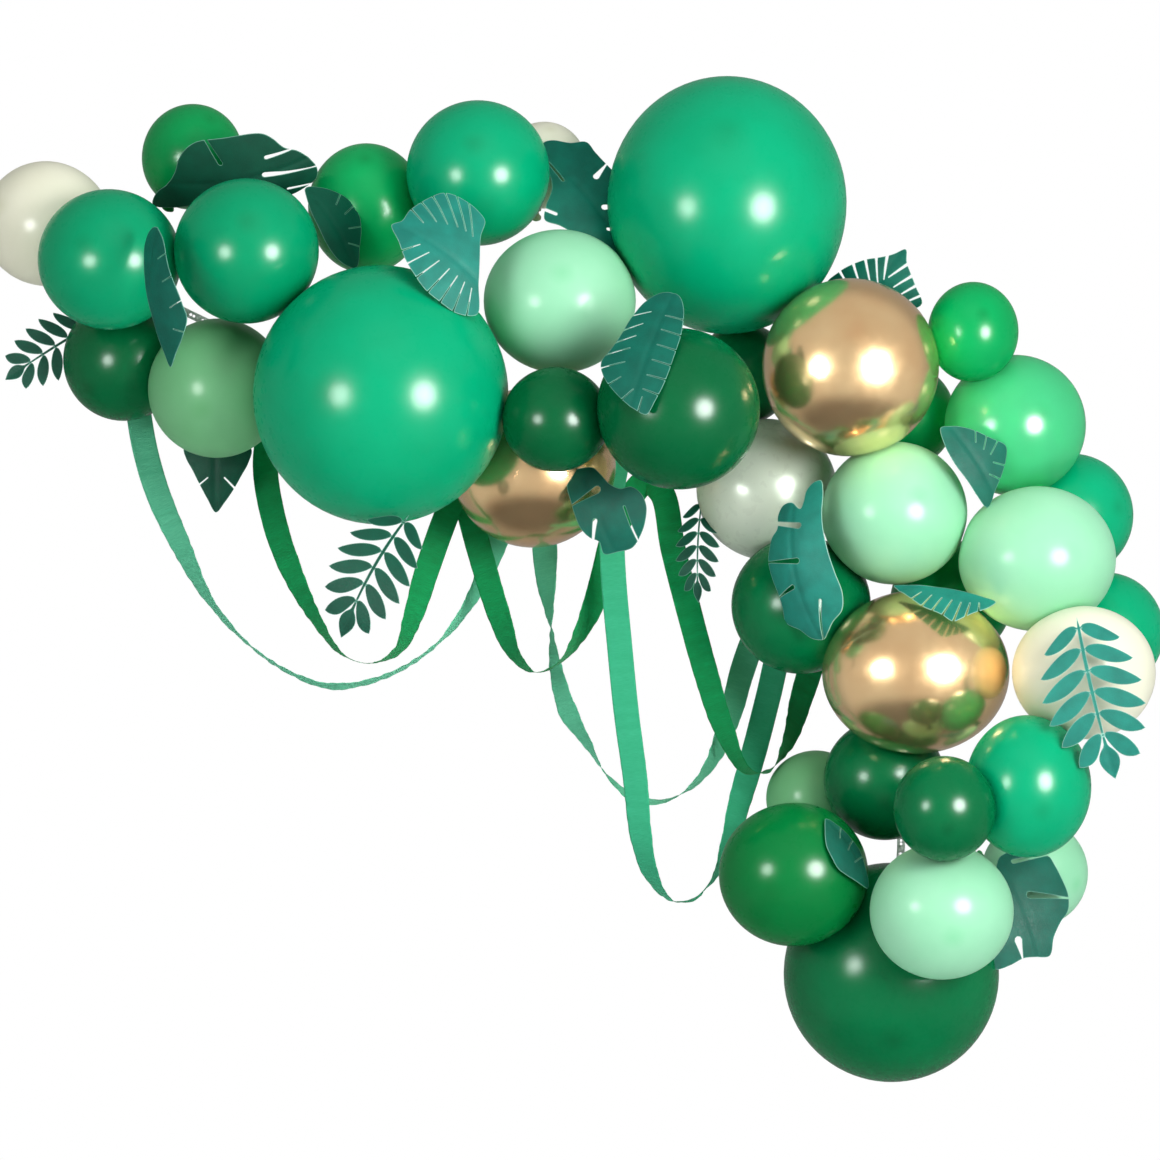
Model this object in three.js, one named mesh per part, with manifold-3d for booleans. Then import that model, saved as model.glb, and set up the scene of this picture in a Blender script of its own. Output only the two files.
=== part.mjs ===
// A balloon garland: a swag of latex and chrome balloons on a plastic strip, dressed with card leaves
// and three twisted crepe streamers. It hangs against a wall.
// Millimetres, +Z up, the front faces -Y. The origin is on the flat back face of the strip, at its
// middle hanging point, and the plane y = 0 is the wall.
import * as THREE from "three";
import { mergeVertices } from "three/addons/utils/BufferGeometryUtils.js";
import Module from "manifold-3d";

const wasm = await Module();
wasm.setup();
const { Manifold, Mesh } = wasm;

// Driving sizes
const TOUCH_GAP = 0.3; // between two pieces that touch
const STRIP_WIDTH = 14;
const STRIP_THICKNESS = 1.2;
const TAB_DIAMETER = 34; // round hanging tab on the strip
const TAB_SIDES = 10;
const STREAMER_WIDTH = 45;
const STREAMER_THICKNESS = 1.5;
const STREAMER_LAYER = 2.4; // depth of one streamer where it lies flat behind the balloons
const LEAF_THICKNESS = 1.6;
const LEAF_CLEARANCE = 1.5; // from a leaf to the balloons that it lies on
const NECK_RADIUS = 5;
const KNOT_RADIUS = 8;
const KNOT_LENGTH = 9;
const LIP_RADIUS = 11;
const LIP_LENGTH = 16;
const CONE_LENGTH = 18; // the neck's taper, from the body to the knot
const PEAR = 1.1; // how much longer the neck half of a balloon is than its crown half
const BODY_END = 154; // degrees from the crown to where the neck's taper starts
const NECK_SIDES = 5;
const FACET_SAG = 8.5; // how far a flat facet may fall short of a balloon's true round
const SQUEEZE = 0.11; // share of the two radii that a pair of balloons loses where they press together

// The balloons rest on this plane, in front of the strip and the streamers' flat ends.
const BACK_LAYER = STRIP_THICKNESS + 3 * STREAMER_LAYER + 2 * TOUCH_GAP;

const COLOURS = {
  jade: [0x05ab78, 0.25, 0],
  forest: [0x046536, 0.22, 0],
  grass: [0x0aa04c, 0.25, 0],
  crystal: [0x3fce86, 0.12, 0],
  mint: [0x9fe8ba, 0.3, 0],
  sage: [0x8cd09a, 0.3, 0],
  ivory: [0xe6e4cf, 0.35, 0],
  pearl: [0xd2dccd, 0.25, 0.1],
  gold: [0xc9a06a, 0.18, 1],
  leaf_dark: [0x075a4b, 0.7, 0],
  leaf_teal: [0x0d6a60, 0.7, 0],
  leaf_light: [0x36a08e, 0.7, 0],
  paper_light: [0x6fb792, 0.9, 0],
  paper_dark: [0x067a3c, 0.9, 0],
  paper_bright: [0x4cc291, 0.9, 0],
  strip: [0xe9efe9, 0.4, 0],
};

// Balloons from the back of the pile to its front: name, finish, centre x and z, width, height,
// and the way the neck points in the front view, in degrees from +X towards +Z.
const BALLOONS = [
  ["ivory_left_end", "ivory", -1058, 370, 225, 222, -20],
  ["crystal_dark_left", "forest", -920, 127, 215, 218, 40],
  ["grass_small_top_left", "grass", -797, 492, 180, 184, -118],
  ["grass_behind_large", "grass", -487, 400, 208, 226, -90],
  ["ivory_small_top", "ivory", -170, 478, 150, 150, -100],
  ["forest_behind_gold", "forest", 186, 103, 178, 178, -120],
  ["grass_behind_mint", "grass", 469, 27, 188, 188, -140],
  ["grass_behind_gold_low", "grass", 558, -301, 212, 212, 200],
  ["green_right_end", "jade", 832, -358, 206, 212, 160],
  ["jade_right", "jade", 770, -150, 220, 220, 190],
  ["sage_low_left", "sage", 310, -655, 168, 168, 30],
  ["mint_low_right", "mint", 708, -788, 184, 190, 165],
  ["forest_large_bottom", "forest", 446, -965, 382, 382, 90],
  ["crystal_green_right", "crystal", 666, 9, 250, 250, 205],
  ["jade_large_top", "jade", 154, 402, 424, 450, -90],
  ["gold_low_left", "gold", -190, -66, 290, 284, 50],
  ["pearl_white", "pearl", 225, -103, 248, 250, -40],
  ["forest_middle_right", "forest", 285, -310, 246, 244, 20],
  ["forest_low_right", "forest", 434, -620, 216, 214, 90],
  ["grass_small_right", "grass", 588, 173, 160, 176, -120],
  ["mint_right_inner", "mint", 450, -147, 256, 252, 215],
  ["sage_left", "sage", -750, 74, 244, 246, 60],
  ["jade_left", "jade", -938, 301, 252, 248, -30],
  ["jade_top", "jade", -287, 457, 254, 256, -80],
  ["mint_top", "mint", -142, 228, 269, 252, -95],
  ["jade_left_inner", "jade", -694, 315, 256, 254, -95],
  ["jade_large_left", "jade", -458, 60, 446, 456, 0],
  ["forest_small", "forest", -149, 16, 188, 184, 10],
  ["forest_middle", "forest", 65, 34, 284, 282, -30],
  ["gold_top_right", "gold", 370, 110, 312, 312, -100],
  ["mint_right_outer", "mint", 701, -228, 276, 256, 190],
  ["ivory_right", "ivory", 779, -428, 250, 234, 175],
  ["jade_low_right", "jade", 678, -627, 220, 248, 120],
  ["grass_low_left", "grass", 269, -784, 262, 252, 40],
  ["mint_low", "mint", 527, -846, 252, 238, 110],
  ["forest_small_low", "forest", 528, -664, 178, 182, 95],
  ["gold_low_right", "gold", 487, -428, 328, 288, 180],
];

// Leaves, with base and tip in the front view, how far the tip leans forward, the full width across
// the lobes, how far the leaf is turned about its own rib in degrees, and how its length and width curl.
// cut lists the balloons that press over the leaf.
const LEAVES = [
  { name: "monstera_top_left", kind: "monstera", finish: "leaf_dark", base: [-842, 440], tip: [-576, 490],
    width: 170, lean: 0.1, turn: 40, curl: 0.12, cup: 0.1, cut: ["jade_left_inner", "jade_left"] },
  { name: "leaf_left_narrow", kind: "monstera", finish: "leaf_teal", base: [-846, 352], tip: [-825, 98],
    width: 150, lean: 0.1, turn: 60, curl: 0.1, cup: 0.2, cut: ["jade_left_inner"] },
  { name: "leaf_behind_large", kind: "monstera", finish: "leaf_dark", base: [-594, 428], tip: [-505, 286],
    width: 130, lean: 0.15, turn: -40, curl: 0.1, cup: 0.15, cut: ["jade_left_inner", "jade_large_left"] },
  { name: "palm_top", kind: "palm", finish: "leaf_light", base: [-430, 356], tip: [-290, 262],
    width: 205, lean: 0, turn: -28, curl: 0.12, cup: 0.1, cut: [] },
  { name: "monstera_top", kind: "monstera", finish: "leaf_teal", base: [-176, 498], tip: [-12, 290],
    width: 190, lean: 0.25, turn: -25, curl: 0.12, cup: 0.1, cut: ["jade_top", "mint_top", "jade_large_top"] },
  { name: "palm_middle", kind: "palm", finish: "leaf_teal", base: [-22, 28], tip: [58, 238],
    width: 150, lean: -0.45, turn: -25, curl: 0.05, cup: 0.1, cut: ["mint_top"] },
  { name: "palm_gold", kind: "palm", finish: "leaf_teal", base: [398, 210], tip: [468, 326],
    depth: 190, width: 150, lean: 0.1, turn: -50, curl: 0.1, cup: 0.15, cut: ["gold_top_right"] },
  { name: "monstera_right", kind: "monstera", finish: "leaf_teal", base: [630, -130], tip: [546, 4],
    width: 130, lean: 0.2, turn: 25, curl: 0.1, cup: 0.1, cut: ["mint_right_outer", "mint_right_inner"] },
  { name: "palm_gold_low", kind: "palm", finish: "leaf_light", base: [462, -282], tip: [620, -300],
    width: 120, lean: 0.1, turn: -55, curl: 0.1, cup: 0.1, cut: ["mint_right_outer"] },
  { name: "monstera_middle", kind: "monstera", finish: "leaf_teal", base: [-92, -96], tip: [-40, -224],
    width: 150, lean: 0, turn: 15, curl: 0.15, cup: 0.1, cut: [] },
  { name: "monstera_curled", kind: "monstera", finish: "leaf_light", base: [280, -92], tip: [318, -372],
    width: 150, lean: 0.1, turn: 40, curl: 0.18, cup: 0.3, cut: ["mint_right_inner"] },
  { name: "branch_left", kind: "branch", finish: "leaf_dark", base: [-952, 205], tip: [-1132, 92],
    depth: 90, width: 120, lean: 0.05, turn: 15, curl: 0.05, cup: 0, cut: ["crystal_dark_left", "jade_left"] },
  { name: "monstera_low_left", kind: "monstera", finish: "leaf_dark", base: [-757, -40], tip: [-757, -146],
    depth: 110, width: 124, lean: -0.1, turn: 0, curl: 0.05, cup: 0.1, cut: ["sage_left"] },
  { name: "branch_hanging", kind: "branch", finish: "leaf_dark", base: [-396, -140], tip: [-524, -366],
    width: 150, lean: 0.1, turn: 15, curl: 0.15, cup: 0, cut: [] },
  { name: "branch_small", kind: "branch", finish: "leaf_dark", base: [112, -110], tip: [104, -306],
    depth: 150, width: 84, lean: 0.05, turn: 20, curl: 0.08, cup: 0, cut: ["pearl_white", "forest_middle"] },
  { name: "branch_right", kind: "branch", finish: "leaf_light", base: [756, -312], tip: [826, -612],
    width: 180, lean: 0.05, turn: 10, curl: 0.12, cup: 0, cut: ["mint_right_outer"] },
  { name: "monstera_low_right", kind: "monstera", finish: "leaf_teal", base: [640, -760], tip: [712, -948],
    width: 150, lean: 0.1, turn: -20, curl: 0.1, cup: 0.1, cut: ["mint_low", "jade_low_right"] },
  { name: "leaf_low_left", kind: "monstera", finish: "leaf_teal", base: [400, -806], tip: [326, -684],
    width: 110, lean: 0.1, turn: 55, curl: 0.1, cup: 0.1, cut: ["mint_low"] },
];

// Streamer routes from end to end: x, depth from the wall, z, and how far the paper has turned
// about the route, in degrees, 0 where its full width faces the front.
const STREAMERS = [
  {
    name: "streamer_light", finish: "paper_light", layer: 0, route: [
      [-925, 0, 290, 0], [-908, 0, 130, 0], [-900, 2, 50, 0], [-886, 24, -30, 0], [-862, 42, -110, 12], [-822, 50, -200, 35],
      [-770, 52, -300, 70], [-700, 52, -380, 84], [-620, 50, -434, 80], [-548, 50, -456, 74],
      [-450, 50, -436, 80], [-360, 50, -378, 84], [-295, 40, -290, 60], [-250, 20, -180, 15],
      [-210, 0, -70, 0], [-180, 0, -100, 0], [-170, 12, -200, 0], [-166, 40, -270, 40],
      [-158, 52, -350, 86], [-150, 52, -420, 60], [-128, 52, -500, 40], [-92, 50, -560, 70],
      [-58, 50, -615, 95], [-10, 50, -655, 110], [40, 50, -662, 100], [90, 50, -638, 80],
      [130, 50, -590, 60], [162, 48, -510, 30], [184, 30, -430, 10], [208, 8, -366, 0], [244, 0, -304, 0], [296, 0, -222, 0],
    ],
  },
  {
    name: "streamer_dark", finish: "paper_dark", layer: 1, route: [
      [-650, 0, 130, 0], [-662, 0, 20, 0], [-670, 30, -60, 0], [-655, 76, -150, 10],
      [-628, 100, -232, 25], [-580, 108, -330, 60], [-530, 108, -398, 84], [-480, 108, -414, 92],
      [-430, 106, -390, 70], [-404, 104, -330, 40], [-380, 92, -250, 15], [-345, 60, -150, 0],
      [-315, 30, -80, 0], [-305, 50, -140, 0], [-278, 96, -240, 10], [-250, 106, -330, 25],
      [-222, 108, -400, 60], [-186, 108, -430, 88], [-140, 108, -410, 84], [-100, 106, -350, 50],
      [-72, 100, -280, 20], [-40, 60, -170, 0], [10, 30, -90, 0], [40, 50, -110, 0],
      [60, 96, -210, 5], [88, 106, -320, 5], [118, 108, -430, 15], [150, 108, -530, 35],
      [190, 108, -604, 70], [230, 108, -606, 100], [262, 100, -560, 60], [292, 46, -470, 20],
      [320, 5, -384, 0], [332, 0, -340, 0], [336, 0, -280, 0],
    ],
  },
  {
    name: "streamer_bright", finish: "paper_bright", layer: 2, route: [
      [-30, 0, -10, 0], [-48, 40, -100, 0], [-50, 130, -180, 0], [-46, 160, -270, 0], [-36, 164, -380, 0],
      [-24, 164, -500, 5], [-8, 164, -620, 15], [2, 162, -720, 30], [20, 150, -790, 55],
      [52, 130, -834, 84], [92, 105, -836, 96], [130, 80, -800, 80], [158, 62, -740, 50],
      [180, 54, -660, 25], [206, 48, -570, 5], [232, 30, -470, 0], [252, 6, -390, 0], [282, 0, -320, 0], [314, 0, -250, 0],
    ],
  },
];

// The strip's middle line on the wall, from its left end to its bottom end. It turns at its hanging tabs.
const STRIP_ROUTE = [
  [-1010, 340], [-860, 240], [-725, 172], [-570, 90], [-425, 10], [-195, -46], [0, 0],
  [140, -50], [236, -130], [330, -270], [380, -400], [425, -530], [462, -650], [470, -740], [456, -860], [446, -1000],
];
const TABS = [[-1010, 340], [0, 0], [446, -1000]];

const root = new THREE.Group();

function addMesh(name, finish, geometry) {
  const [color, roughness, metalness] = COLOURS[finish];
  const mesh = new THREE.Mesh(geometry, new THREE.MeshStandardMaterial({ color, roughness, metalness }));
  mesh.name = name;
  root.add(mesh);
}

function solidOf(geometry) {
  const bare = new THREE.BufferGeometry();
  bare.setAttribute("position", geometry.getAttribute("position"));
  if (geometry.index) bare.setIndex(geometry.index);
  const merged = mergeVertices(bare, 1e-3);
  return new Manifold(new Mesh({
    numProp: 3,
    vertProperties: new Float32Array(merged.getAttribute("position").array),
    triVerts: new Uint32Array(merged.index.array),
  }));
}

function geometryOf(solid) {
  const mesh = solid.getMesh();
  const geometry = new THREE.BufferGeometry();
  geometry.setAttribute("position", new THREE.BufferAttribute(mesh.vertProperties, 3));
  geometry.setIndex(new THREE.BufferAttribute(mesh.triVerts, 1));
  return geometry;
}

// The biggest body of a solid that a cut may have parted.
function largest(solid) {
  return solid.decompose().sort((a, b) => b.volume() - a.volume())[0];
}

// Balloon shapes

// How far an egg with these half sizes reaches along a direction.
function reach(half, n) {
  return Math.hypot(half.x * n.x, half.y * n.y, half.z * n.z);
}

// Each balloon is pushed back until it meets the wall's layer or presses on the balloons behind it.
// A front balloon always keeps its full round outline against the one behind.
function pileUp(rows) {
  const pile = [];
  for (const [name, finish, x, z, width, height, neck] of rows) {
    const half = new THREE.Vector3(width / 2, (width + height) / 4, height / 2);
    let y = -((half.y * (1 + PEAR)) / 2 + BACK_LAYER);
    for (const other of pile) {
      const dx = x - other.centre.x;
      const dz = z - other.centre.z;
      const apart = Math.hypot(dx, dz);
      const inView = new THREE.Vector3(dx / apart, 0, dz / apart);
      const mine = reach(half, inView);
      const theirs = reach(other.half, inView);
      if (apart > mine + theirs) continue;
      const outlineDepth = Math.sqrt(Math.max(0, theirs ** 2 - (apart - mine) ** 2));
      const touchDepth = Math.sqrt(Math.max(0, ((1 - SQUEEZE) * (mine + theirs)) ** 2 - apart ** 2));
      y = Math.min(y, other.centre.y - Math.max(outlineDepth, touchDepth));
    }
    pile.push({ name, finish, half, neck: THREE.MathUtils.degToRad(neck), centre: new THREE.Vector3(x, y, z) });
  }
  return pile;
}

// The neck reaches from the body's centre back to the strip's plane, the given way in the front view.
function neckDirection(balloon) {
  const inView = new THREE.Vector3(Math.cos(balloon.neck), 0, Math.sin(balloon.neck));
  const length = neckLength(balloon);
  const back = Math.min(0.93, (-balloon.centre.y - BACK_LAYER - LIP_RADIUS) / length);
  return inView.multiplyScalar(Math.sqrt(1 - back * back)).add(new THREE.Vector3(0, back, 0));
}

function radiusOf(balloon) {
  return (balloon.half.x + balloon.half.z) / 2;
}

function taperStart(radius) {
  return -radius * PEAR * Math.cos(THREE.MathUtils.degToRad(BODY_END));
}

function neckLength(balloon) {
  return taperStart(radiusOf(balloon)) + CONE_LENGTH + KNOT_LENGTH + LIP_LENGTH;
}

// Turns a lathed shape so that its -Y end, the neck, points along the balloon's own direction.
function placed(geometry, balloon, scaled) {
  const turn = new THREE.Quaternion().setFromUnitVectors(new THREE.Vector3(0, -1, 0), neckDirection(balloon));
  geometry.applyQuaternion(turn);
  if (scaled) {
    const r = radiusOf(balloon);
    geometry.scale(balloon.half.x / r, balloon.half.y / r, balloon.half.z / r);
  }
  return geometry.translate(balloon.centre.x, balloon.centre.y, balloon.centre.z);
}

function bodySolid(balloon) {
  const radius = radiusOf(balloon);
  const sides = Math.ceil(Math.PI / Math.acos(1 - FACET_SAG / radius));
  const rings = Math.round((sides * BODY_END) / 360);
  // A polygon inside the true round would be too small, so its corners stand out by half the loss.
  const corner = 2 / (1 + Math.cos(Math.PI / sides));
  const profile = [new THREE.Vector2(0, radius)];
  for (let i = 1; i <= rings; i++) {
    const angle = THREE.MathUtils.degToRad((BODY_END * i) / rings);
    const stretch = Math.cos(angle) < 0 ? PEAR : 1;
    profile.push(new THREE.Vector2(radius * corner * Math.sin(angle), radius * stretch * Math.cos(angle)));
  }
  profile.push(new THREE.Vector2(0, -taperStart(radius) - CONE_LENGTH / 2));
  return solidOf(placed(new THREE.LatheGeometry(profile.reverse(), sides), balloon, true));
}

// The neck's taper, knot and rolled lip, grown outwards by a margin.
function neckSolid(balloon, margin) {
  const radius = radiusOf(balloon);
  const start = -taperStart(radius);
  const knot = start - CONE_LENGTH;
  const end = knot - KNOT_LENGTH - LIP_LENGTH;
  const profile = [
    [0, start],
    [NECK_RADIUS * 2.6 + margin, start],
    [NECK_RADIUS + margin, knot],
    [KNOT_RADIUS + margin, knot - KNOT_LENGTH / 2],
    [LIP_RADIUS + margin, end - margin],
    [0, end - margin],
  ].map(([x, y]) => new THREE.Vector2(x, y));
  return solidOf(placed(new THREE.LatheGeometry(profile.reverse(), NECK_SIDES), balloon, false));
}

// Cuts two balloons flat where they press together, with the touching gap between the two flats.
function pressTogether(a, b) {
  const apart = new THREE.Vector3().subVectors(b.centre, a.centre);
  const distance = apart.length();
  const n = apart.divideScalar(distance);
  const ra = reach(a.half, n);
  const rb = reach(b.half, n);
  if (distance > 1.12 * (ra + rb)) return;
  const along = (distance ** 2 + ra ** 2 - rb ** 2) / (2 * distance);
  const at = n.dot(a.centre) + along;
  a.body = a.body.trimByPlane([-n.x, -n.y, -n.z], -(at - TOUCH_GAP / 2));
  b.body = b.body.trimByPlane([n.x, n.y, n.z], at + TOUCH_GAP / 2);
}

function makeBalloons() {
  const pile = pileUp(BALLOONS);
  for (const balloon of pile) {
    balloon.body = bodySolid(balloon);
    balloon.stem = neckSolid(balloon, 0);
  }
  pile.forEach((a, i) => pile.slice(i + 1).forEach((b) => pressTogether(a, b)));
  // A neck that runs between its neighbours leaves a hollow in each of them.
  pile.forEach((a, i) => {
    const room = neckSolid(a, TOUCH_GAP);
    pile.forEach((b, j) => {
      if (i === j) return;
      if (room.intersect(b.body).volume() > 0) b.body = largest(b.body.subtract(room));
      if (j > i && room.intersect(b.stem).volume() > 0) b.stem = largest(b.stem.subtract(room));
    });
  });
  for (const balloon of pile) balloon.solid = largest(balloon.body.add(balloon.stem));
  return pile;
}

// Leaf shapes

// kind: lobes on each side, how far out the slits between them start, how far out a lobe is widest,
// the share of its room that a lobe fills, and how far up the leaf the rib's last lobe grows.
const LEAF_KINDS = {
  monstera: { lobes: 5, core: 0.42, shoulder: 0.93, spread: 0.84, rib: 0.82 },
  palm: { lobes: 7, core: 0.48, shoulder: 0.88, spread: 0.72, rib: 0.62 },
  branch: { lobes: 6, core: 0.04, shoulder: 0.5, spread: 0.78, rib: 0.8 },
};
const LEAF_NOTCH = 0.06; // where the rib starts, as a share of the leaf's length
const LEAFLET_LEAN = 0.16; // how far a branch's leaflet tips lie ahead of their roots

// The edge of an uncut leaf at t, 0 at its base and 1 at its tip, in leaf lengths and half widths.
function edgePoint(kind, t) {
  if (kind === LEAF_KINDS.branch) return [kind.rib * t + LEAFLET_LEAN, 1 - 0.45 * (2 * t - 0.9) ** 2];
  const round = Math.sin(Math.PI * t) ** 0.7;
  return [1 - 1.08 * (0.5 + 0.5 * Math.cos(Math.PI * t)), round * (1 + 0.12 * Math.cos(Math.PI * t))];
}

// A point on the line from the rib to the edge at t.
function lobePoint(kind, t, share) {
  const root = LEAF_NOTCH + (kind.rib - LEAF_NOTCH) * t;
  const [u, v] = edgePoint(kind, t);
  return [root + (u - root) * share, v * share];
}

// One side's corners from the base to the tip.
function sideOutline(kind) {
  const points = [];
  for (let i = 0; i < kind.lobes; i++) {
    const middle = (i + 0.5) / kind.lobes;
    const half = (kind.spread * 0.5) / kind.lobes;
    if (i > 0 || kind === LEAF_KINDS.branch) points.push(lobePoint(kind, i / kind.lobes, kind.core));
    points.push(lobePoint(kind, middle - half, kind.shoulder));
    points.push(lobePoint(kind, middle, 1));
    points.push(lobePoint(kind, middle + half, kind.shoulder));
  }
  if (kind === LEAF_KINDS.branch) {
    points.push([kind.rib, kind.core]);
    points.push([(1 + kind.rib) / 2, 0.22]);
  }
  return points;
}

function leafOutline(leaf) {
  const side = sideOutline(LEAF_KINDS[leaf.kind]);
  return [[LEAF_NOTCH, 0], ...side, [1, 0], ...side.map(([u, v]) => [u, -v]).reverse()];
}

// A leaf's own axes: along its rib, across it, and out of its face.
function leafAxes(leaf) {
  const dx = leaf.tip[0] - leaf.base[0];
  const dz = leaf.tip[1] - leaf.base[1];
  const inView = Math.hypot(dx, dz);
  const along = new THREE.Vector3(dx, -leaf.lean * inView, dz).normalize();
  const face = new THREE.Vector3(0, -1, 0).addScaledVector(along, along.y).normalize();
  face.applyAxisAngle(along, THREE.MathUtils.degToRad(leaf.turn));
  const across = new THREE.Vector3().crossVectors(face, along);
  return { along, across, face, length: inView * Math.hypot(1, leaf.lean) };
}

// A point of the bent leaf. u runs 0 to 1 along the rib, v -1 to 1 across, side 1 is the front face.
function leafPoint(leaf, axes, u, v, side) {
  const curl = leaf.curl * axes.length * (1 - (2 * u - 1) ** 2);
  const cup = leaf.cup * (leaf.width / 2) * v * v;
  const lift = curl - cup + (side * LEAF_THICKNESS) / 2;
  return new THREE.Vector3(leaf.base[0], 0, leaf.base[1])
    .addScaledVector(axes.along, u * axes.length)
    .addScaledVector(axes.across, (v * leaf.width) / 2)
    .addScaledVector(axes.face, lift);
}

function leafGeometry(leaf) {
  const axes = leafAxes(leaf);
  const flat = leafOutline(leaf).map(([u, v]) => new THREE.Vector2(u * axes.length, (v * leaf.width) / 2));
  const card = { depth: LEAF_THICKNESS, steps: 1, bevelEnabled: false };
  const geometry = new THREE.ExtrudeGeometry(new THREE.Shape(flat), card);
  const position = geometry.getAttribute("position");
  for (let i = 0; i < position.count; i++) {
    const u = position.getX(i) / axes.length;
    const v = position.getY(i) / (leaf.width / 2);
    const point = leafPoint(leaf, axes, u, v, (2 * position.getZ(i)) / LEAF_THICKNESS - 1);
    position.setXYZ(i, point.x, point.y, point.z);
  }
  return geometry;
}

// Depth of a balloon's front surface at a place in the front view, or nothing beside it.
function frontDepth(balloon, x, z) {
  const u = (x - balloon.centre.x) / (balloon.half.x * 1.03);
  const v = (z - balloon.centre.z) / (balloon.half.z * 1.03);
  const rest = 1 - u * u - v * v;
  return rest > 0 ? balloon.centre.y - balloon.half.y * 1.03 * Math.sqrt(rest) : 0;
}

// Brings a leaf forward until it clears the wall's layer and each balloon that it lies on.
function restLeaf(leaf, geometry, pile) {
  const under = pile.filter((balloon) => !leaf.cut.includes(balloon.name));
  const position = geometry.getAttribute("position");
  let shift = Infinity;
  const layer = Math.max(BACK_LAYER, leaf.depth ?? 0);
  for (let i = 0; i < position.count; i++) {
    const [x, y, z] = [position.getX(i), position.getY(i), position.getZ(i)];
    const limit = Math.min(-layer, ...under.map((balloon) => frontDepth(balloon, x, z)));
    shift = Math.min(shift, limit - LEAF_CLEARANCE - y);
  }
  return geometry.translate(0, shift, 0);
}

function makeLeaves(pile) {
  return LEAVES.map((leaf) => {
    let solid = solidOf(restLeaf(leaf, leafGeometry(leaf), pile));
    if (solid.volume() < 0) throw new Error(leaf.name + " is inside out");
    for (const balloon of pile) {
      if (solid.intersect(balloon.solid).volume() > 0) solid = largest(solid.subtract(grown(balloon)));
    }
    return { ...leaf, solid };
  });
}

// The balloon again, larger by the touching gap.
function grown(balloon) {
  const factor = 1 + (1.5 * TOUCH_GAP) / Math.min(balloon.half.x, balloon.half.z);
  const c = balloon.centre;
  return balloon.solid.translate([-c.x, -c.y, -c.z]).scale(factor).translate([c.x, c.y, c.z]);
}

// Streamer and strip shapes

// A flat band swept along a smooth line, with its width turned about the line.
function bandGeometry(points, turns, width, thickness, steps) {
  const curve = new THREE.CatmullRomCurve3(points, false, "centripetal");
  const corners = [[-0.5, -0.5], [0.5, -0.5], [0.5, 0.5], [-0.5, 0.5]];
  const vertices = [];
  const index = [];
  let across = null;
  for (let i = 0; i <= steps; i++) {
    const t = i / steps;
    const centre = curve.getPoint(t);
    const tangent = curve.getTangent(t);
    const level = new THREE.Vector3().crossVectors(tangent, new THREE.Vector3(0, 1, 0)).normalize();
    if (across && level.dot(across) < 0) level.negate();
    across = level.clone();
    const at = t * (turns.length - 1);
    const low = Math.min(Math.floor(at), turns.length - 2);
    const angle = THREE.MathUtils.lerp(turns[low], turns[low + 1], at - low);
    const wide = level.applyAxisAngle(tangent, THREE.MathUtils.degToRad(angle));
    const thin = new THREE.Vector3().crossVectors(wide, tangent).normalize();
    for (const [w, h] of corners) {
      vertices.push(centre.clone().addScaledVector(wide, w * width).addScaledVector(thin, h * thickness));
    }
  }
  for (let i = 0; i < steps; i++) {
    for (let k = 0; k < 4; k++) {
      const [a, b] = [4 * i + k, 4 * i + ((k + 1) % 4)];
      // Both broad faces are split along the same diagonal, so that they stay apart where the band twists.
      if (k === 2) index.push(a, a + 4, b, b, a + 4, b + 4);
      else index.push(a, b + 4, b, a, a + 4, b + 4);
    }
  }
  const end = 4 * steps;
  index.push(0, 1, 2, 0, 2, 3, end, end + 2, end + 1, end, end + 3, end + 2);
  const geometry = new THREE.BufferGeometry().setFromPoints(vertices);
  geometry.setIndex(index);
  return geometry;
}

function makeStreamers() {
  return STREAMERS.map((streamer) => {
    const flat = STRIP_THICKNESS + TOUCH_GAP + (streamer.layer + 0.5) * STREAMER_LAYER;
    const points = streamer.route.map(([x, out, z]) => new THREE.Vector3(x, -(flat + out), z));
    const turns = streamer.route.map((p) => p[3]);
    const steps = Math.round(1.4 * (points.length - 1));
    const solid = solidOf(bandGeometry(points, turns, STREAMER_WIDTH, STREAMER_THICKNESS, steps));
    return { ...streamer, solid };
  });
}

function makeStrip() {
  const y = -STRIP_THICKNESS / 2;
  const points = STRIP_ROUTE.map(([x, z]) => new THREE.Vector3(x, y, z));
  const turns = points.map(() => 0);
  let solid = solidOf(bandGeometry(points, turns, STRIP_WIDTH, STRIP_THICKNESS, points.length));
  for (const [x, z] of TABS) {
    const disc = new THREE.CylinderGeometry(TAB_DIAMETER / 2, TAB_DIAMETER / 2, STRIP_THICKNESS, TAB_SIDES);
    solid = solid.add(solidOf(disc.translate(x, y, z)));
  }
  return solid;
}

const pile = makeBalloons();
for (const balloon of pile) addMesh("balloon_" + balloon.name, balloon.finish, geometryOf(balloon.solid));
for (const leaf of makeLeaves(pile)) addMesh(leaf.name, leaf.finish, geometryOf(leaf.solid));
for (const streamer of makeStreamers()) addMesh(streamer.name, streamer.finish, geometryOf(streamer.solid));
addMesh("hanging_strip", "strip", geometryOf(makeStrip()));

export default root;
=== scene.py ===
"""Blender scene of a balloon garland: its latex and chrome balloons, card leaves, crepe streamers and strip.

The garland hangs on a wall plane at y = 0 and faces -Y, with +X to the right and +Z up. Shapes are worked out
in millimetres, as in the part's source, and become metres when a mesh is made.
"""

import math
from collections import namedtuple
from types import SimpleNamespace

import bpy
import numpy as np
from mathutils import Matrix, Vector, noise
from mathutils.geometry import delaunay_2d_cdt


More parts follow.
